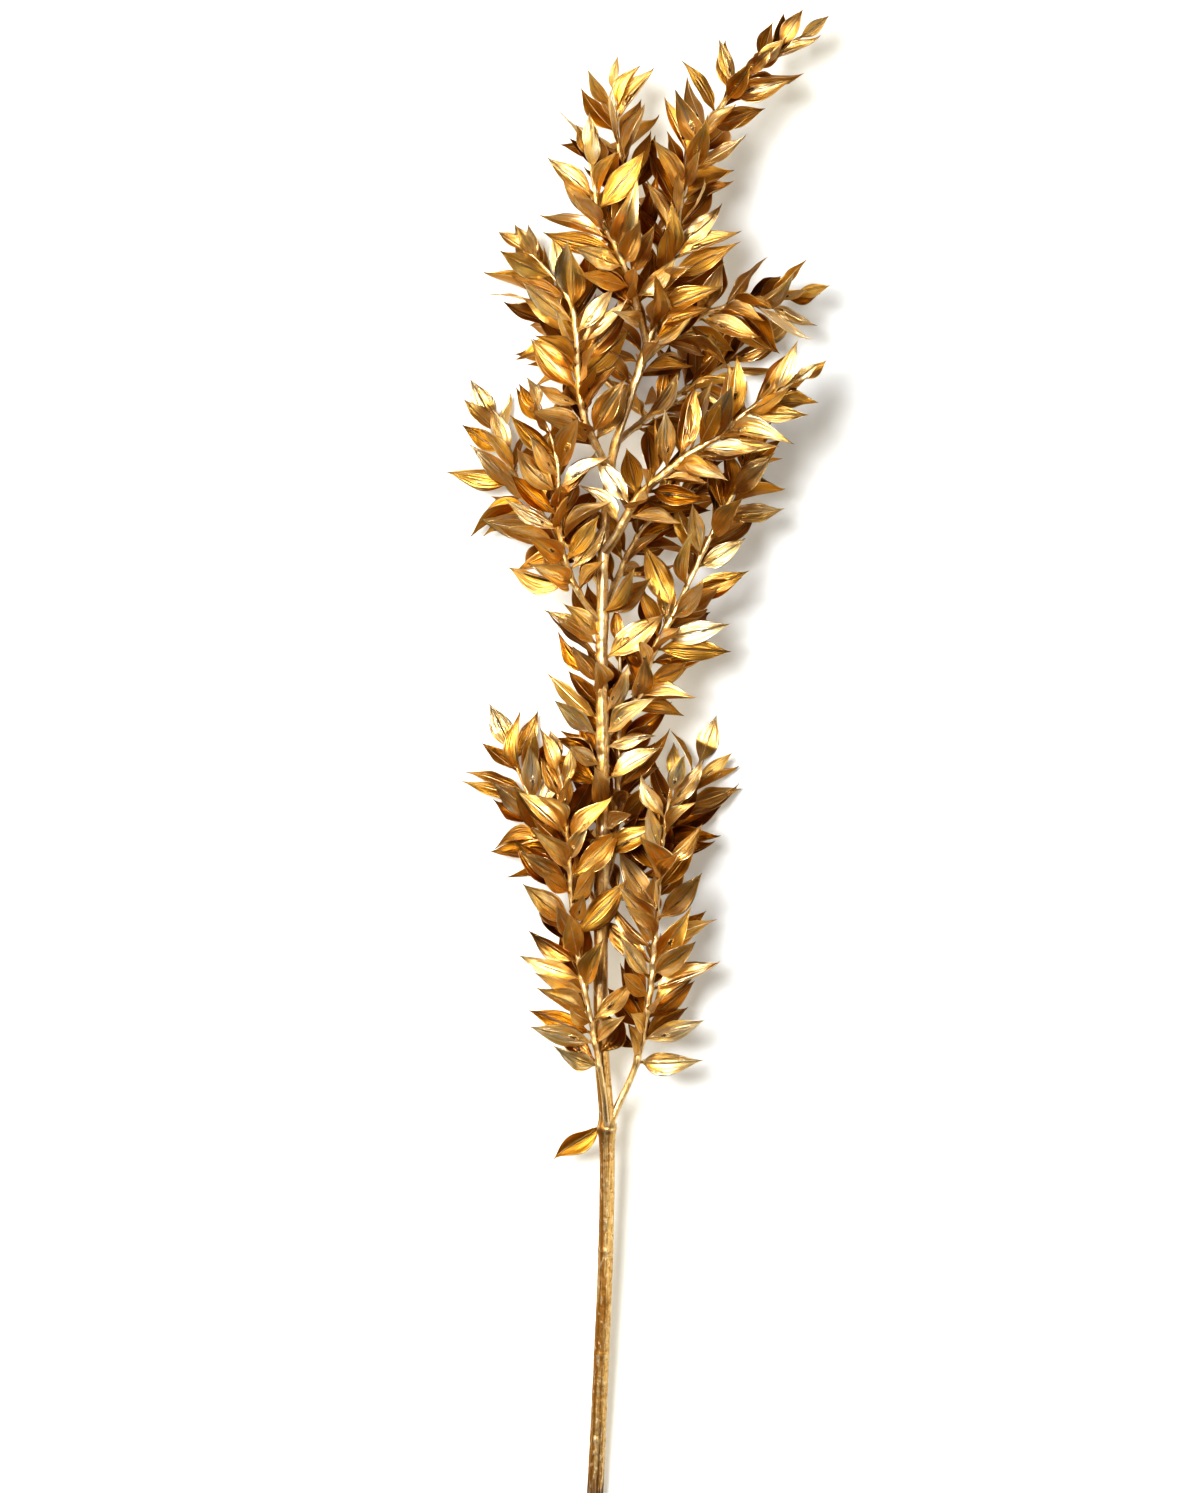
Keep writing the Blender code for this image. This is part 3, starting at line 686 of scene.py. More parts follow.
class Growth(Nodes):
    """A Geometry Nodes tree with named sizes, and what its sources carry."""

    def __init__(self, name, sizes):
        super().__init__(bpy.data.node_groups.new(name, "GeometryNodeTree"))
        sockets = self.tree.interface
        sockets.new_socket("Geometry", in_out="INPUT", socket_type="NodeSocketGeometry")
        sockets.new_socket("Geometry", in_out="OUTPUT", socket_type="NodeSocketGeometry")
        for size, value in sizes.items():
            kind = "NodeSocketInt" if isinstance(value, int) else "NodeSocketFloat"
            sockets.new_socket(size, in_out="INPUT", socket_type=kind)
        self.sizes = sizes
        self.entry = self.tree.nodes.new("NodeGroupInput")
        self.source = Wire(self, self.entry.outputs[0])

    def size(self, name):
        """One of the tree's named sizes."""
        return Wire(self, self.entry.outputs[name])

    def carried(self, name, kind="FLOAT"):
        """A named value that the points carry."""
        return self.add("GeometryNodeInputNamedAttribute", {"Name": name}, data_type=kind)

    def store(self, geometry, name, value):
        """The geometry with a number or vector that its points carry under this name."""
        kind = "FLOAT_VECTOR" if value.is_vector() else "FLOAT"
        inputs = {"Geometry": geometry, "Name": name, "Value": value}
        return self.add("GeometryNodeStoreNamedAttribute", inputs, data_type=kind)

    def draw(self, low, high, shift):
        """An even random draw for each point, its seed shifted from the tree's own."""
        seed = self.size("Seed") + float(shift)
        return self.add("FunctionNodeRandomValue", {2: low, 3: high, 8: seed}, 1)

    def finish(self, geometry, material):
        """Ends the tree: smooth, real and in its material."""
        smooth = self.add("GeometryNodeSetShadeSmooth", {0: geometry})
        real = self.add("GeometryNodeRealizeInstances", {0: smooth})
        dressed = self.add("GeometryNodeSetMaterial", {0: real, 2: material})
        end = self.tree.nodes.new("NodeGroupOutput")
        self.tree.links.new(dressed.socket, end.inputs[0])

    def grow(self, name, source):
        """The source mesh with this tree applied, as a plain mesh object."""
        carrier = placed(name, source)
        modifier = carrier.modifiers.new("growth", "NODES")
        modifier.node_group = self.tree
        for item in self.tree.interface.items_tree:
            if item.in_out == "INPUT" and item.name in self.sizes:
                modifier[item.identifier] = self.sizes[item.name]
        evaluated = carrier.evaluated_get(bpy.context.evaluated_depsgraph_get())
        mesh = bpy.data.meshes.new_from_object(evaluated)
        carrier.modifiers.remove(modifier)
        carrier.data = mesh
        return carrier


def carrier_mesh(name, places, edges, values):
    """A bare mesh of points and edges that carries a named value or vector for each point."""
    mesh = bpy.data.meshes.new(name)
    mesh.from_pydata(places, edges, [])
    for key, column in values.items():
        is_vector = isinstance(column[0], Vector)
        kind = "FLOAT_VECTOR" if is_vector else "FLOAT"
        layer = mesh.attributes.new(key, kind, "POINT")
        for k, value in enumerate(column):
            if is_vector:
                layer.data[k].vector = value
            else:
                layer.data[k].value = value
    return mesh


def blade_template(g):
    """A closed cone whose points carry their place across and on its faces, and their share of its length."""
    sockets = {0: BLADE_SIDES, 1: BLADE_RINGS, 3: 0.0, 4: 1.0, 5: 1.0}
    cone = g.add("GeometryNodeMeshCone", sockets, fill_type="NGON")
    x, y, z = g.parts(g.add("GeometryNodeInputPosition"))
    radius = g.maths("SQRT", x * x + y * y)
    safe = g.maths("MAXIMUM", radius, 0.0001)
    return g.store(cone, "section", g.vector(x / safe, y / safe, z))


def blade_half_width(g, u):
    """Half the width at a share of the length: a narrow stalk that eases into the leaf."""
    length, width, stalk = (g.carried(k) for k in ("length", "width", "stalk"))
    leaf_start = stalk / length * 0.9
    leaf = g.maths("MAXIMUM", (u - leaf_start) / (1.0 - leaf_start), 0.0)
    widest = g.size("Widest")
    outline = (leaf / widest) ** g.size("Base Power")
    outline = outline * ((1.0 - leaf) / (1.0 - widest)) ** g.size("Tip Power")
    stalk_half = g.size("Stalk Width") * 0.5 * (1.0 - u)
    blade_half = width * 0.5 * g.size("Slimness") * outline
    half = g.maths("SMOOTH_MAX", blade_half, stalk_half, STALK_BLEND)
    return half * u.step(0.97, 1.0, 1.0, 0.0)


def blade_thickness(g, u):
    """A round stalk, then a thin blade that gets thinner at its tip."""
    thin = u.step(0.02, 0.22)
    thickness = g.size("Stalk Thickness") * (1.0 - thin) + g.size("Thickness") * thin
    return thickness * u.step(0.9, 1.0, 1.0, 0.5)


def blade_place(g, u, v, s):
    """Where a template's point comes to lie, given its share of the length, its place across and its face.

    The blade bends, hooks and twists along its length, and folds, cups and waves across it.
    Where it would sink into the surface, it lies flat on it.
    """
    along, face, side, root = (g.carried(k, "FLOAT_VECTOR") for k in ("along", "face", "side", "root"))
    bend, sickle, twist = (g.carried(k) for k in ("bend", "sickle", "twist"))
    fold, cup, wave, phase, hook = (g.carried(k) for k in ("fold", "cup", "wave", "phase", "hook"))
    loose = 1.0 - g.carried("pressed")

    tip = u * u * u
    lift = face * (bend + hook * tip * loose) + side * sickle
    middle = along * u + lift * (u * u * 0.5)
    turn = twist * u
    cosine, sine = g.maths("COSINE", turn), g.maths("SINE", turn)
    across = side * cosine + face * sine
    up = face * cosine - side * sine

    half = blade_half_width(g, u)
    body = u.step(0.04, 0.25) * loose
    ridge = g.maths("SQRT", v * v + 0.015)
    ripple = g.maths("SINE", u * RIPPLES + phase + v * 1.3)
    rise = (fold * ridge + cup.sharpened(2.5) * v * v + wave * ripple * v * v) * body
    inside = root + middle * g.carried("length") + across * (v * half) + up * (rise * half)

    thickness = blade_thickness(g, u)
    ix, iy, iz = g.parts(inside)
    lowest = thickness * 0.5
    inside = g.vector(ix, iy, g.maths("MAXIMUM", iz, lowest))
    is_laid = g.maths("LESS_THAN", iz, lowest)
    outward = up * (1.0 - is_laid) + g.vector(0.0, 0.0, is_laid)
    return inside + outward * (thickness * s * 0.5)


def cladode_growth(material):
    """Points with a cladode's measures become closed blades, each shaped by its own draws."""
    sizes = {
        "Thickness": FINE_THICKNESS,
        "Stalk Width": STALK_WIDTH,
        "Stalk Thickness": STALK_THICKNESS,
        "Slimness": SLIMNESS,
        "Widest": WIDEST,
        "Base Power": BASE_POWER,
        "Tip Power": TIP_POWER,
        "Seed": GROWTH_SEED,
    }
    g = Growth("cladodes", sizes)
    points = g.source
    for shift, (name, low, high) in enumerate(BLADE_DRAWS):
        points = g.store(points, name, g.draw(low, high, shift))
    blades = g.add("GeometryNodeInstanceOnPoints", {"Points": points, "Instance": blade_template(g)})
    blades = g.add("GeometryNodeRealizeInstances", {0: blades})
    v, s, u = g.parts(g.carried("section", "FLOAT_VECTOR"))
    place = blade_place(g, u, v, s)
    blades = g.add("GeometryNodeSetPosition", {"Geometry": blades, "Position": place})
    blades = g.store(blades, "blade", g.vector(u, v, g.carried("tone")))
    marks = g.vector(g.carried("mark"), g.carried("ends"), g.carried("is_scale"))
    blades = g.store(blades, "marks", marks)
    # Undersides and shelter, which the blade paint darkens as painted shade
    blades = g.store(blades, "cover", g.vector((-s).step(0.05, 0.4), g.carried("shelter"), 0.0))
    g.finish(blades, material)
    return g


def tube_growth(name, sides, ridges, material):
    """A line with a thickness at each point becomes a closed, ridged tube that stays above the surface."""
    sizes = {"Sides": sides, "Ridge Height": ridges, "Lip Height": LIP_HEIGHT, "Wound Depth": WOUND_DEPTH}
    g = Growth(name, sizes)
    line = g.add("GeometryNodeMeshToCurve", {0: g.source})
    ring = g.add("GeometryNodeCurvePrimitiveCircle", {0: g.size("Sides"), 4: 1.0})
    ring = g.store(ring, "around", g.add("GeometryNodeInputPosition"))
    thickness = g.carried("thickness")
    inputs = {"Curve": line, "Profile Curve": ring, "Scale": thickness, "Fill Caps": True}
    tube = g.add("GeometryNodeCurveToMesh", inputs)
    tube = g.store(tube, "turned", g.add("GeometryNodeInputNormal"))
    ax, ay, _ = g.parts(g.carried("around", "FLOAT_VECTOR"))
    turned = g.carried("turned", "FLOAT_VECTOR")
    # How far the bark faces left, for the painted shade on that side
    left, _, _ = g.parts(-turned)
    distance = g.carried("distance")
    coarse = g.noise(g.vector(ax * 1.9, ay * 1.9, distance * 9.0 + thickness), 1.0, 1.0)
    bumps = g.noise(g.vector(ax * 1.4, ay * 1.4, distance * 210.0), 1.0, 2.0)
    broken = g.noise(g.vector(ax, ay, distance * 50.0), 1.1, 1.0)
    lip = g.carried("ring") * broken.step(0.42, 0.56)
    facing = g.vector_maths("DOT_PRODUCT", turned, WOUND_FACING, output=1)
    wound = g.carried("wound") * (facing + (bumps - 0.5) * 0.03).step(0.972, 0.992)
    share = thickness / STEM_RADIUS
    height = ((coarse - 0.5) * 2.0 + (bumps - 0.5) * 0.7) * g.size("Ridge Height") * share
    height = height + lip * g.size("Lip Height") - wound * g.size("Wound Depth")
    tube = g.add("GeometryNodeSetPosition", {"Geometry": tube, "Offset": turned * height})
    px, py, pz = g.parts(g.add("GeometryNodeInputPosition"))
    laid = g.vector(px, py, g.maths("MAXIMUM", pz, 0.0))
    tube = g.add("GeometryNodeSetPosition", {"Geometry": tube, "Position": laid})
    tube = g.store(tube, "bark", g.vector(ax, ay, distance))
    # The ring lip, the wound, and the left facing that the paint darkens as painted shade
    tube = g.store(tube, "wear", g.vector(lip, wound, left))
    g.finish(tube, material)
    return g


def principled(name, metallic=1.0):
    """A new material, its nodes and its shader."""
    material = bpy.data.materials.new(name)
    material.use_nodes = True
    shader = material.node_tree.nodes["Principled BSDF"]
    shader.inputs["Metallic"].default_value = metallic
    return material, Nodes(material.node_tree), shader


def plug(shader, name, wire):
    """Links a wire to one of the shader's inputs."""
    wire.nodes.tree.links.new(wire.socket, shader.inputs[name])


def relief(n, height, depth, strength=1.0):
    """A normal that follows a height from 0 to 1, which stands for this depth."""
    return n.add("ShaderNodeBump", {"Strength": strength, "Distance": depth, "Height": height})


def scars(n, u, v, place, tone, mark, ends):
    """A torn dark scar on some blades, and a raised lump round it on more of them."""
    off_rib = v - (ends - 0.5) * 0.4
    off_middle = u - 0.30 - tone * 0.12
    torn = n.noise(place, 900.0, 2.0)
    scar = n.maths("SQRT", (off_middle * 17.0) ** 2.0 + (off_rib * 6.0) ** 2.0) + (torn - 0.5) * 2.2
    lump = scar.step(0.6, 1.6, 1.0, 0.0) * mark.step(0.60, 0.62)
    scar = scar.step(0.45, 0.85, 1.0, 0.0) * mark.step(0.89, 0.9)
    return scar, lump


def painted_cladode():
    """Satin gold over lengthwise veins, with a dark scar on some. It turns amber where the paint is thin, at
    random, at the foot and in shelter, and the foot, the underside and the sheltered cladodes are darkened as
    painted shade too; the midrib and margins are paler as a painted highlight.
    """
    material, n, shader = principled("gold_blade")
    u, v, tone = n.attribute("blade")
    mark, ends, is_scale = n.attribute("marks")
    under, shelter, _ = n.attribute("cover")
    place = n.add("ShaderNodeTexCoord", output=3)
    veins = n.noise(n.vector(v * 4.5, u * 1.3, tone * 40.0), 1.0, 3.0, 0.6)
    fine = n.noise(n.vector(v * 13.0, u * 1.8, tone * 40.0), 1.0, 1.0)
    blotch = n.noise(place, 170.0, 2.0)
    grain = n.noise(place, 1400.0, 1.0)
    rib = v.bump_at(0.0, 0.10)
    rim = abs(v).step(0.86, 0.97)

    lined = veins * 0.55 + fine * 0.45
    shade = n.mix(lined.step(0.44, 0.56), MID_GOLD, PALE_GOLD)
    # Amber where the paint is thin: at random, and at the foot, on the underside and in shelter, which is
    # painted shade as well
    thin = tone.step(0.4, 0.95) * 0.75 + blotch.step(0.5, 0.72) * 0.3 + u.step(0.0, 0.4, 0.4, 0.0)
    thin = thin + under * 0.6 + shelter * 0.5
    shade = n.mix(n.maths("MINIMUM", thin, 1.0) * (1.0 - rib * 0.6), shade, THIN_AND_SHADED_GOLD)
    # Painted shade: sheltered cladodes turn deep amber, standing also for thinner paint
    shade = n.mix(shelter.step(0.12, 0.8) * 0.9, shade, DEEP_GOLD)
    # Painted highlight: paler along the raised midrib and along the margins
    shade = n.mix((rib + rim * 0.6) * 0.5, shade, PALE_GOLD)
    scar, lump = (mask * (1.0 - is_scale) for mask in scars(n, u, v, place, tone, mark, ends))
    burnt = u.step(0.90, 0.985) * ends.step(0.6, 0.62)
    dark = n.maths("MAXIMUM", scar, burnt * 0.8)
    shade = n.mix(dark * 0.9, shade, DRY_BROWN)
    plug(shader, "Base Color", shade)
    plug(shader, "Metallic", 1.0 - dark * 0.8)
    plug(shader, "Roughness", 0.27 + blotch * 0.14 + tone * 0.08 + dark * 0.3 - rim * 0.05)
    shader.inputs["Coat Weight"].default_value = BLADE_COAT
    shader.inputs["Coat Roughness"].default_value = COAT_ROUGHNESS
    height = veins * 0.9 + fine * 0.7 + rib * 0.8 + rim * 0.35 + grain * 0.05 + lump * 1.0 - scar * 1.6
    plug(shader, "Normal", relief(n, height, BLADE_RELIEF))
    return material


def painted_bark(name, foot_wear, tip_wear, bareness):
    """Gold over a ridged rind that is duller where it is worn and deep in its furrows, with painted shade on
    its left side.

    It has specks and crumbs of thick paint, and toward a bare foot the paint ends.
    """
    material, n, shader = principled(name)
    ax, ay, distance = n.attribute("bark")
    lip, wound, left = n.attribute("wear")
    place = n.add("ShaderNodeTexCoord", output=3)
    wear = distance.step(0.23, 0.34, foot_wear, tip_wear)
    streaks = n.noise(n.vector(ax * 2.6, ay * 2.6, distance * 30.0), 1.0, 4.0, 0.6)
    fibres = n.noise(n.vector(ax * 9.0, ay * 9.0, distance * 55.0), 1.0, 2.0)
    blotch = n.noise(place, 120.0, 3.0)
    mottle = n.noise(place, 430.0, 4.0, 0.7)
    thick = n.noise(n.vector_maths("MULTIPLY", place, (1.0, 0.45, 1.0)), 620.0, 3.0, 0.55)
    grain = n.noise(place, 1500.0, 2.0)
    light = n.mix(wear, PALE_GOLD, BARK_GOLD)
    deep = n.mix(wear, MID_GOLD, DULL_GOLD)
    # Painted shade: the bark's left side leans toward the furrow colour
    furrow_and_left_shade = (streaks + left * wear * 0.16).step(0.42, 0.60)
    shade = n.mix(furrow_and_left_shade, light, deep)
    pitted = mottle.step(0.34, 0.50, 0.7, 0.0) + fibres.step(0.35, 0.5, 0.4, 0.0)
    shade = n.mix(pitted * wear * 0.9, shade, DULL_GOLD)
    crumbs = (thick.step(0.52, 0.66) + lip * 0.6).step(0.1, 1.0)
    shade = n.mix(crumbs * 0.4, shade, PALE_GOLD)
    ragged = distance + (streaks - 0.5) * 0.03 + (fibres - 0.5) * 0.02
    foot = ragged.step(BARE_FOOT - 5 * MM, BARE_FOOT, 1.0, 0.0) * bareness
    rind = n.mix(fibres.step(0.35, 0.55), DRY_BROWN, FOOT_BROWN)
    rind = n.mix(streaks.step(0.5, 0.66) * 0.6, rind, PITH)
    shade = n.mix(foot, shade, rind)
    flakes = fibres.step(0.64, 0.74) * blotch.step(0.5, 0.62) * wear * 0.7
    dry = n.maths("MAXIMUM", wound, flakes)
    shade = n.mix(dry, shade, DRY_BROWN)
    plug(shader, "Base Color", shade)
    bare = n.maths("MAXIMUM", dry, foot)
    plug(shader, "Metallic", 1.0 - bare * 0.85)
    plug(shader, "Roughness", 0.33 + wear * 0.08 + blotch * 0.12 + furrow_and_left_shade * 0.05 + bare * 0.15)
    height = streaks * 0.7 + fibres * 0.3 + mottle * 0.35 + thick * 0.45 + grain * 0.1
    plug(shader, "Normal", relief(n, height, BARK_RELIEF, 0.9))
    return material


def cut_pith(middle, radius):
    """The sawn end: pale fibres with darker pores, inside a dark ring of rind."""
    material, n, shader = principled("cut_pith", 0.0)
    place = n.add("ShaderNodeTexCoord", output=3)
    outward = n.vector_maths("DISTANCE", place, middle, output=1) * (1.0 / radius)
    pores = n.add("ShaderNodeTexVoronoi", {"Vector": place, "Scale": 2600.0}).step(0.05, 0.4)
    blotch = n.noise(place, 500.0, 3.0)
    shade = n.mix(pores * 0.6 + blotch * 0.4, FOOT_BROWN, PITH)
    rim = (outward + blotch * 0.2).step(0.74, 0.86)
    heart = (outward + blotch * 0.15).step(0.28, 0.34, 0.5, 0.0)
    shade = n.mix((rim + heart) * 0.8, shade, DRY_BROWN)
    plug(shader, "Base Color", shade)
    shader.inputs["Roughness"].default_value = 0.8
    plug(shader, "Normal", relief(n, pores + blotch, PITH_RELIEF))
    return material


def cut_end(axis, radius):
    """The foot's cut face: a thin closed disc, hollowed a little toward its middle."""
    ahead = axis.direction(0.0)
    side = ahead.cross(Vector((0, 0, 1))).normalized()
    up = side.cross(ahead)
    draw = random.Random(GROWTH_SEED)
    corners, faces = [], []
    for out, share in CUT_PROFILE:
        for k in range(BARK_SIDES):
            turn = math.tau * k / BARK_SIDES
            rough = draw.uniform(-0.04, 0.04) * MM
            corner = axis.at(0.0) - ahead * (out * MM + rough)
            corner += (side * math.cos(turn) + up * math.sin(turn)) * (radius * share)
            corner.z = max(corner.z, 0.0)
            corners.append(corner)
    for ring in range(len(CUT_PROFILE) - 1):
        for k in range(BARK_SIDES):
            a, b = ring * BARK_SIDES + k, ring * BARK_SIDES + (k + 1) % BARK_SIDES
            faces.append((a, b, b + BARK_SIDES, a + BARK_SIDES))
    faces.append(tuple(reversed(range(BARK_SIDES))))
    faces.append(tuple(range(len(corners) - BARK_SIDES, len(corners))))
    mesh = bpy.data.meshes.new("main_stem_cut")
    mesh.from_pydata(corners, [], faces)
    mesh.materials.append(cut_pith(axis.at(0.0), radius))
    return placed("main_stem_cut", mesh)


def scale_leaf(axis, radius_at, distance, toward, length, draw):
    """A small dry leaf that clasps an axis just below whatever leaves it in that direction."""
    ahead = axis.direction(distance)
    out = (toward - ahead * toward.dot(ahead)).normalized()
    lean = (ahead * 0.9 + out * draw.uniform(0.35, 0.8)).normalized()
    root = axis.at(distance - 0.2 * length) + out * (radius_at(distance) * 0.55)
    length *= draw.uniform(0.6, 1.25)
    bend = draw.uniform(-0.3, 0.6)
    return Cladode(root, lean, -out, length, length * 0.4, 0.6 * MM, bend, sickle=0.0, twist=0.0)


def low_leaf(axis, radius_at):
    """The broad cladode that hangs back beside the stem, to the left of the lowest shoots."""
    along = Vector(LOW_LEAF_ALONG).normalized()
    root = axis.at(LOW_LEAF_AT) + along * (radius_at(LOW_LEAF_AT) * 0.6)
    face = Vector(LOW_LEAF_FACING)
    size = (LOW_LEAF_LENGTH, LOW_LEAF_WIDTH)
    return Cladode(root, along, face, *size, stalk=1 * MM, bend=-0.35, sickle=0.25, twist=0.5)


def shelter_in(laid):
    """A function that says how sheltered a place is: 0 in the open, 1 beneath many cladodes. The blade paint
    darkens sheltered cladodes as painted shade.
    """
    middles = [c.root + c.along * (c.length / 2) for _, _, cladodes in laid.values() for c in cladodes]
    tree = KDTree(len(middles))
    for k, middle in enumerate(middles):
        tree.insert(middle, k)
    tree.balance()

    def shelter_at(place):
        above = place + Vector((0, 0, SHELTER_REACH))
        return min(1.0, len(tree.find_range(above, SHELTER_REACH)) / SHELTER_FULL)

    return shelter_at


def cladode_points(name, laid, bracts, thin_paint_and_shade, draw, shelter_at):
    """The points that the cladodes and the small dry leaves under them grow on."""
    axis, radius_at, cladodes = laid
    columns = {key: [] for key in (*MEASURES, "pressed", "is_scale", "shelter")}

    def put(leaf, distance, is_scale):
        for key in MEASURES:
            columns[key].append(getattr(leaf, key))
        columns["pressed"].append(float(leaf.pressed))
        columns["is_scale"].append(float(is_scale))
        # Shelter and the listed stretches' shares darken the cladode: painted shade, and thin paint at the
        # tip
        shelter = shelter_at(leaf.root + leaf.along * (leaf.length / 2))
        thin = [share for start, end, share in thin_paint_and_shade if start < distance < end]
        columns["shelter"].append(max([shelter, *thin]))

    for c in cladodes:
        distance = nearest_distance(axis, c.root)
        put(c, distance, False)
        put(scale_leaf(axis, radius_at, distance, c.along, SCALE_LEAF_LENGTH, draw), distance, True)
    for distance, toward in bracts:
        put(scale_leaf(axis, radius_at, distance, toward, BRACT_LENGTH, draw), distance, True)
    places = [Vector((0, 0, 0))] * len(columns["root"])
    return carrier_mesh(name, places, [], columns)


def twig_line(name, axis, radius_at, cladodes, rings=(), wound=(0.0, 0.0)):
    """An axis as a line of points 1 mm apart, with swellings, ring marks and a wound.

    It swells where cladodes leave it, and leans a little toward each.
    """
    nodes = [(nearest_distance(axis, c.root), c.along) for c in cladodes]
    start, end = wound
    places = []
    columns = {"thickness": [], "distance": [], "ring": [], "wound": []}
    for k, place in enumerate(axis.line):
        distance = k * axis.step
        radius = radius_at(distance)
        near = [(bell(distance - d, NODE_REACH), along) for d, along in nodes]
        swelling = min(sum(share for share, _ in near), 1.0)
        slim = min(1.0, THICK_TWIG / radius)
        lean = sum((along * share for share, along in near), Vector((0, 0, 0)))
        places.append(place + lean * (NODE_LEAN * slim / max(1.0, lean.length)))
        ring = max([height * bell(distance - d * MM, RING_REACH) for d, height in rings] or [0.0])
        depth = min((distance - start) / WOUND_FADE, (end - distance) / WOUND_FADE, 1.0)
        columns["thickness"].append(radius * (1 + NODE_SWELLING * swelling * slim + RING_SWELLING * ring))
        columns["distance"].append(distance)
        columns["ring"].append(ring)
        columns["wound"].append(max(0.0, depth))
    edges = [(k, k + 1) for k in range(len(axis.line) - 1)]
    return carrier_mesh(name, places, edges, columns)


def open_front():
    """The two sides of the space over the stem's middle, which the added cladodes keep clear of."""
    corners, faces = [], []
    for distance in even_steps(FRONT_END - FRONT_START, 2 * TUBE_SPACING):
        place = MAIN.at(FRONT_START + distance)
        radius = main_radius(FRONT_START + distance)
        for x in (-FRONT_WIDTH * radius, FRONT_WIDTH * radius):
            for z in (1.2 * radius, FRONT_HEIGHT):
                corners.append(place + Vector((x, 0, z)))
    for k in range(0, len(corners) - 4, 4):
        faces.append((k, k + 4, k + 5, k + 1))
        faces.append((k + 2, k + 6, k + 7, k + 3))
    return Thing(corners, faces, "front")


def thicken(laid):
    """Adds the cladodes that fill the gaps between those of the plain part."""
    draw = random.Random(SEED + 1)
    things = [open_front(), *plain_things(laid, EXTRA_TUBE_SIDES)]
    grow_shoots(laid, EXTRA_BARE, EXTRA_SPACING, EXTRA_ENDS, EXTRA_TURN, things, draw)
    leader = places_along(LEADER_START + 2 * MM, MAIN.length - 5 * MM, EXTRA_SPACING)
    grow_cladodes("main_stem", laid, leader, EXTRA_LEADER_TURN, things, draw)
    middle = places_along(MIDDLE_START, MIDDLE_END, EXTRA_SPACING, MIDDLE_AGE)
    grow_cladodes("main_stem", laid, middle, EXTRA_MIDDLE_TURN, things, draw)


def soft_box(name, place, aim, width, power, tint):
    """A round soft light that the camera doesn't see."""
    data = bpy.data.lights.new(name, "AREA")
    data.shape = "DISK"
    data.size = width
    data.energy = power
    data.color = tint
    lamp = placed(name, data)
    lamp.location = place
    lamp.rotation_euler = (Vector(aim) - Vector(place)).to_track_quat("-Z", "Y").to_euler()
    lamp.visible_camera = False


def pale_floor():
    """A broad pale surface that glows faintly, and more so far out."""
    low, high, z = -FLOOR_REACH, FLOOR_REACH, -FLOOR_DROP
    mesh = bpy.data.meshes.new("floor")
    mesh.from_pydata([(low, low, z), (high, low, z), (high, high, z), (low, high, z)], [], [(0, 1, 2, 3)])
    material, n, shader = principled("pale_floor", 0.0)
    shader.inputs["Base Color"].default_value = (FLOOR_TONE, FLOOR_TONE, FLOOR_TONE, 1.0)
    shader.inputs["Roughness"].default_value = 0.9
    outward = n.vector_maths("LENGTH", n.add("ShaderNodeTexCoord", output=3), output=1)
    far = outward.step(GLOW_START, GLOW_END)
    plug(shader, "Emission Color", n.mix(far, NEAR_GLOW, WHITE))
    shader.inputs["Emission Strength"].default_value = FLOOR_GLOW
    mesh.materials.append(material)
    return placed("floor", mesh)


def camera_above():
    """A camera straight above that takes in what the photograph does."""
    data = bpy.data.cameras.new("camera")
    data.sensor_fit = "VERTICAL"
    data.sensor_height = SENSOR_HEIGHT
    data.lens = SENSOR_HEIGHT * CAMERA_DISTANCE / (IMAGE_HEIGHT * PIXEL)
    data.clip_end = 30.0
    camera = placed("camera", data)
    camera.location = (
        (IMAGE_WIDTH / 2 - STEM_FOOT_PIXEL) * PIXEL - LAID_MIDDLE.x,
        ROUTE_AT_FOOT + IMAGE_HEIGHT / 2 * PIXEL - LAID_MIDDLE.y,
        FOCUS_HEIGHT + CAMERA_DISTANCE,
    )
    return camera


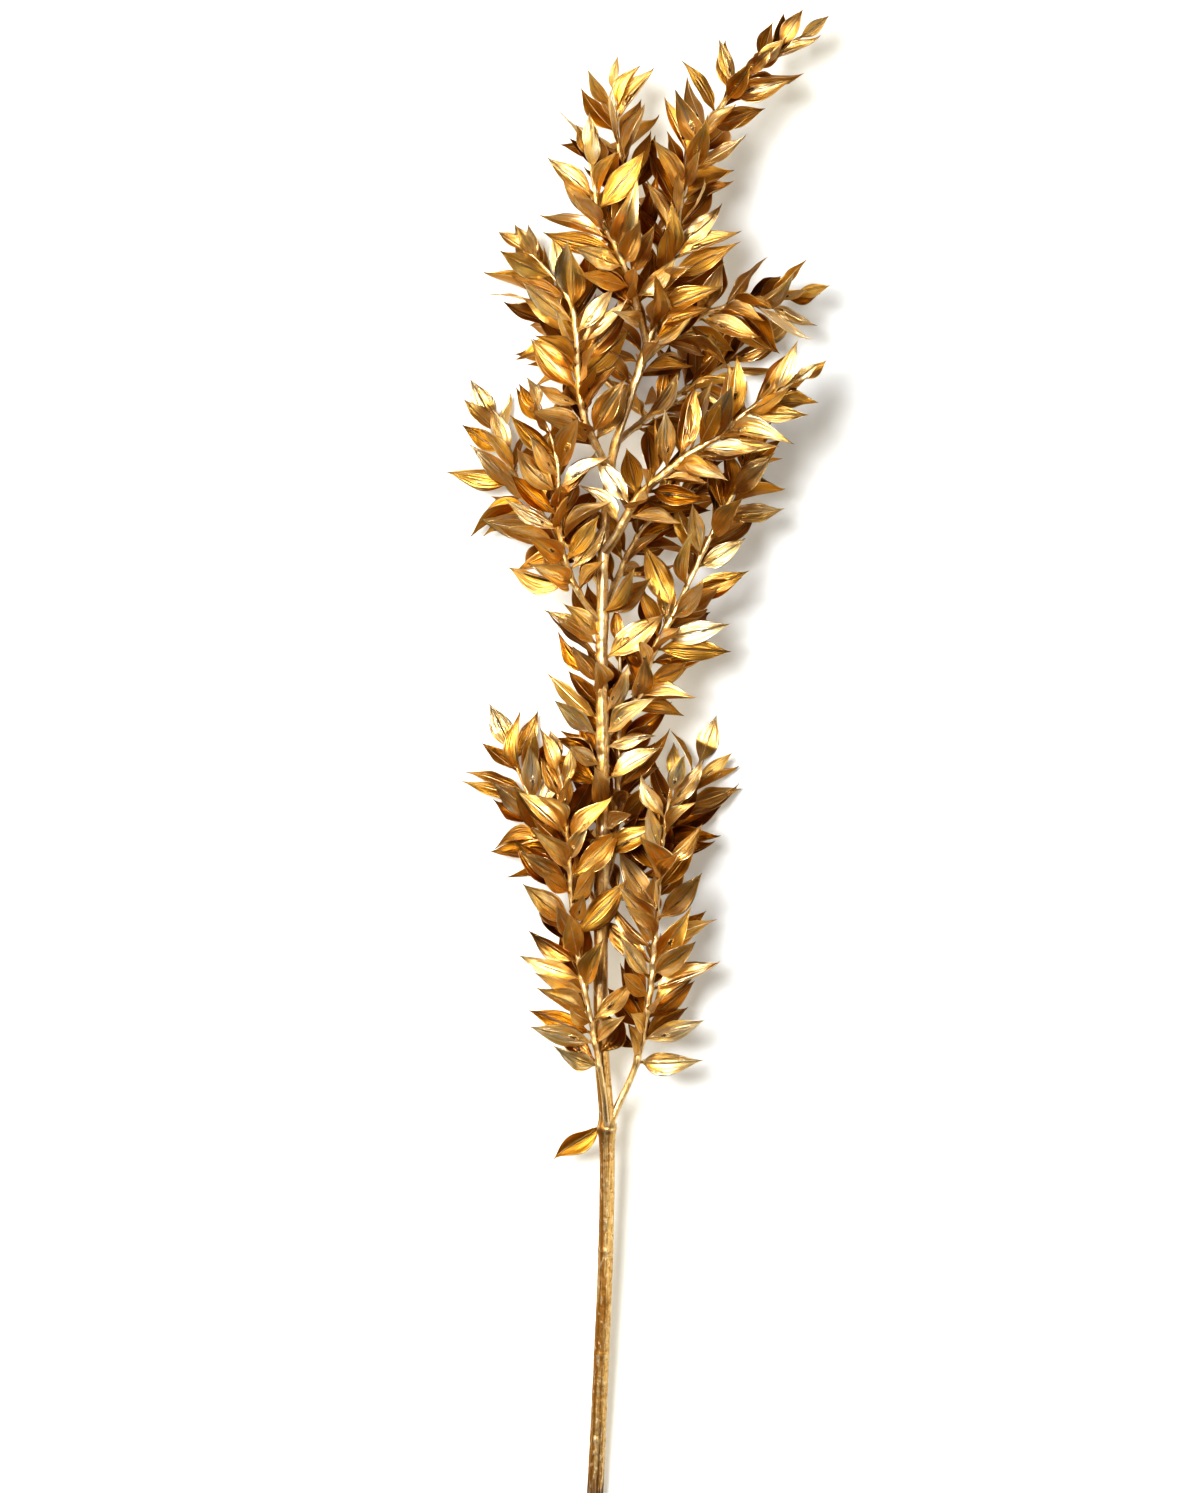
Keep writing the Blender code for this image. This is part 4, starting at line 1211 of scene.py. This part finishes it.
def studio():
    """A pale floor, a bright soft light from the upper left, broad ones round it, and the camera above."""
    scene = bpy.context.scene
    scene.view_settings.view_transform = "Standard"
    scene.view_settings.look = "Very High Contrast"
    scene.view_settings.exposure = EXPOSURE
    floor = pale_floor()
    world = bpy.data.worlds.new("studio")
    scene.world = world
    world.use_nodes = True
    world.node_tree.nodes["Background"].inputs["Color"].default_value = WORLD_TONE
    for light in LIGHTS:
        soft_box(*light)
    scene.camera = camera_above()


def main_stem_bark(laid, growth):
    """The main stem's bark, and where each shoot leaves it and in what direction."""
    axis, radius_at, cladodes = laid["main_stem"]
    line = twig_line("main_stem_line", axis, radius_at, cladodes, RING_MARKS, (WOUND_START, WOUND_END))
    rind = growth.grow("main_stem_bark", line)
    starts = [laid[shoot.name][0] for shoot in SHOOTS]
    return rind, [(nearest_distance(axis, s.at(0.0)), s.at(12 * MM) - s.at(0.0)) for s in starts]


def main():
    draw = random.Random(GROWTH_SEED)
    blade_paint = painted_cladode()
    twig_paint = painted_bark("gold_twig", 0.5, 0.5, 0.0)
    bark_paint = painted_bark("gold_bark", 1.0, 0.7, 1.0)
    blades = cladode_growth(blade_paint)
    twigs = tube_growth("twig", TWIG_SIDES, TWIG_RIDGES, twig_paint)
    bark = tube_growth("bark", BARK_SIDES, BARK_RIDGES, bark_paint)
    laid = lay_out()
    thicken(laid)
    axis, radius_at, cladodes = laid["main_stem"]
    cladodes.append(low_leaf(axis, radius_at))
    shelter_at = shelter_in(laid)
    cut = cut_end(MAIN, STEM_RADIUS)
    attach(cut, "root")
    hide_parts("main_stem")
    for name, (axis, radius_at, cladodes) in laid.items():
        if name == "main_stem":
            rind, bracts = main_stem_bark(laid, bark)
            thin_paint_and_shade = THIN_PAINT_AND_SHADE
        else:
            rind = twigs.grow(name + "_twig", twig_line(name + "_line", axis, radius_at, cladodes))
            bracts, thin_paint_and_shade = [], ()
        points = cladode_points(name + "_points", laid[name], bracts, thin_paint_and_shade, draw, shelter_at)
        leaves = blades.grow(name + "_cladodes", points)
        for piece in (rind, leaves):
            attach(piece, "root")
            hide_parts(name)
    studio()


main()
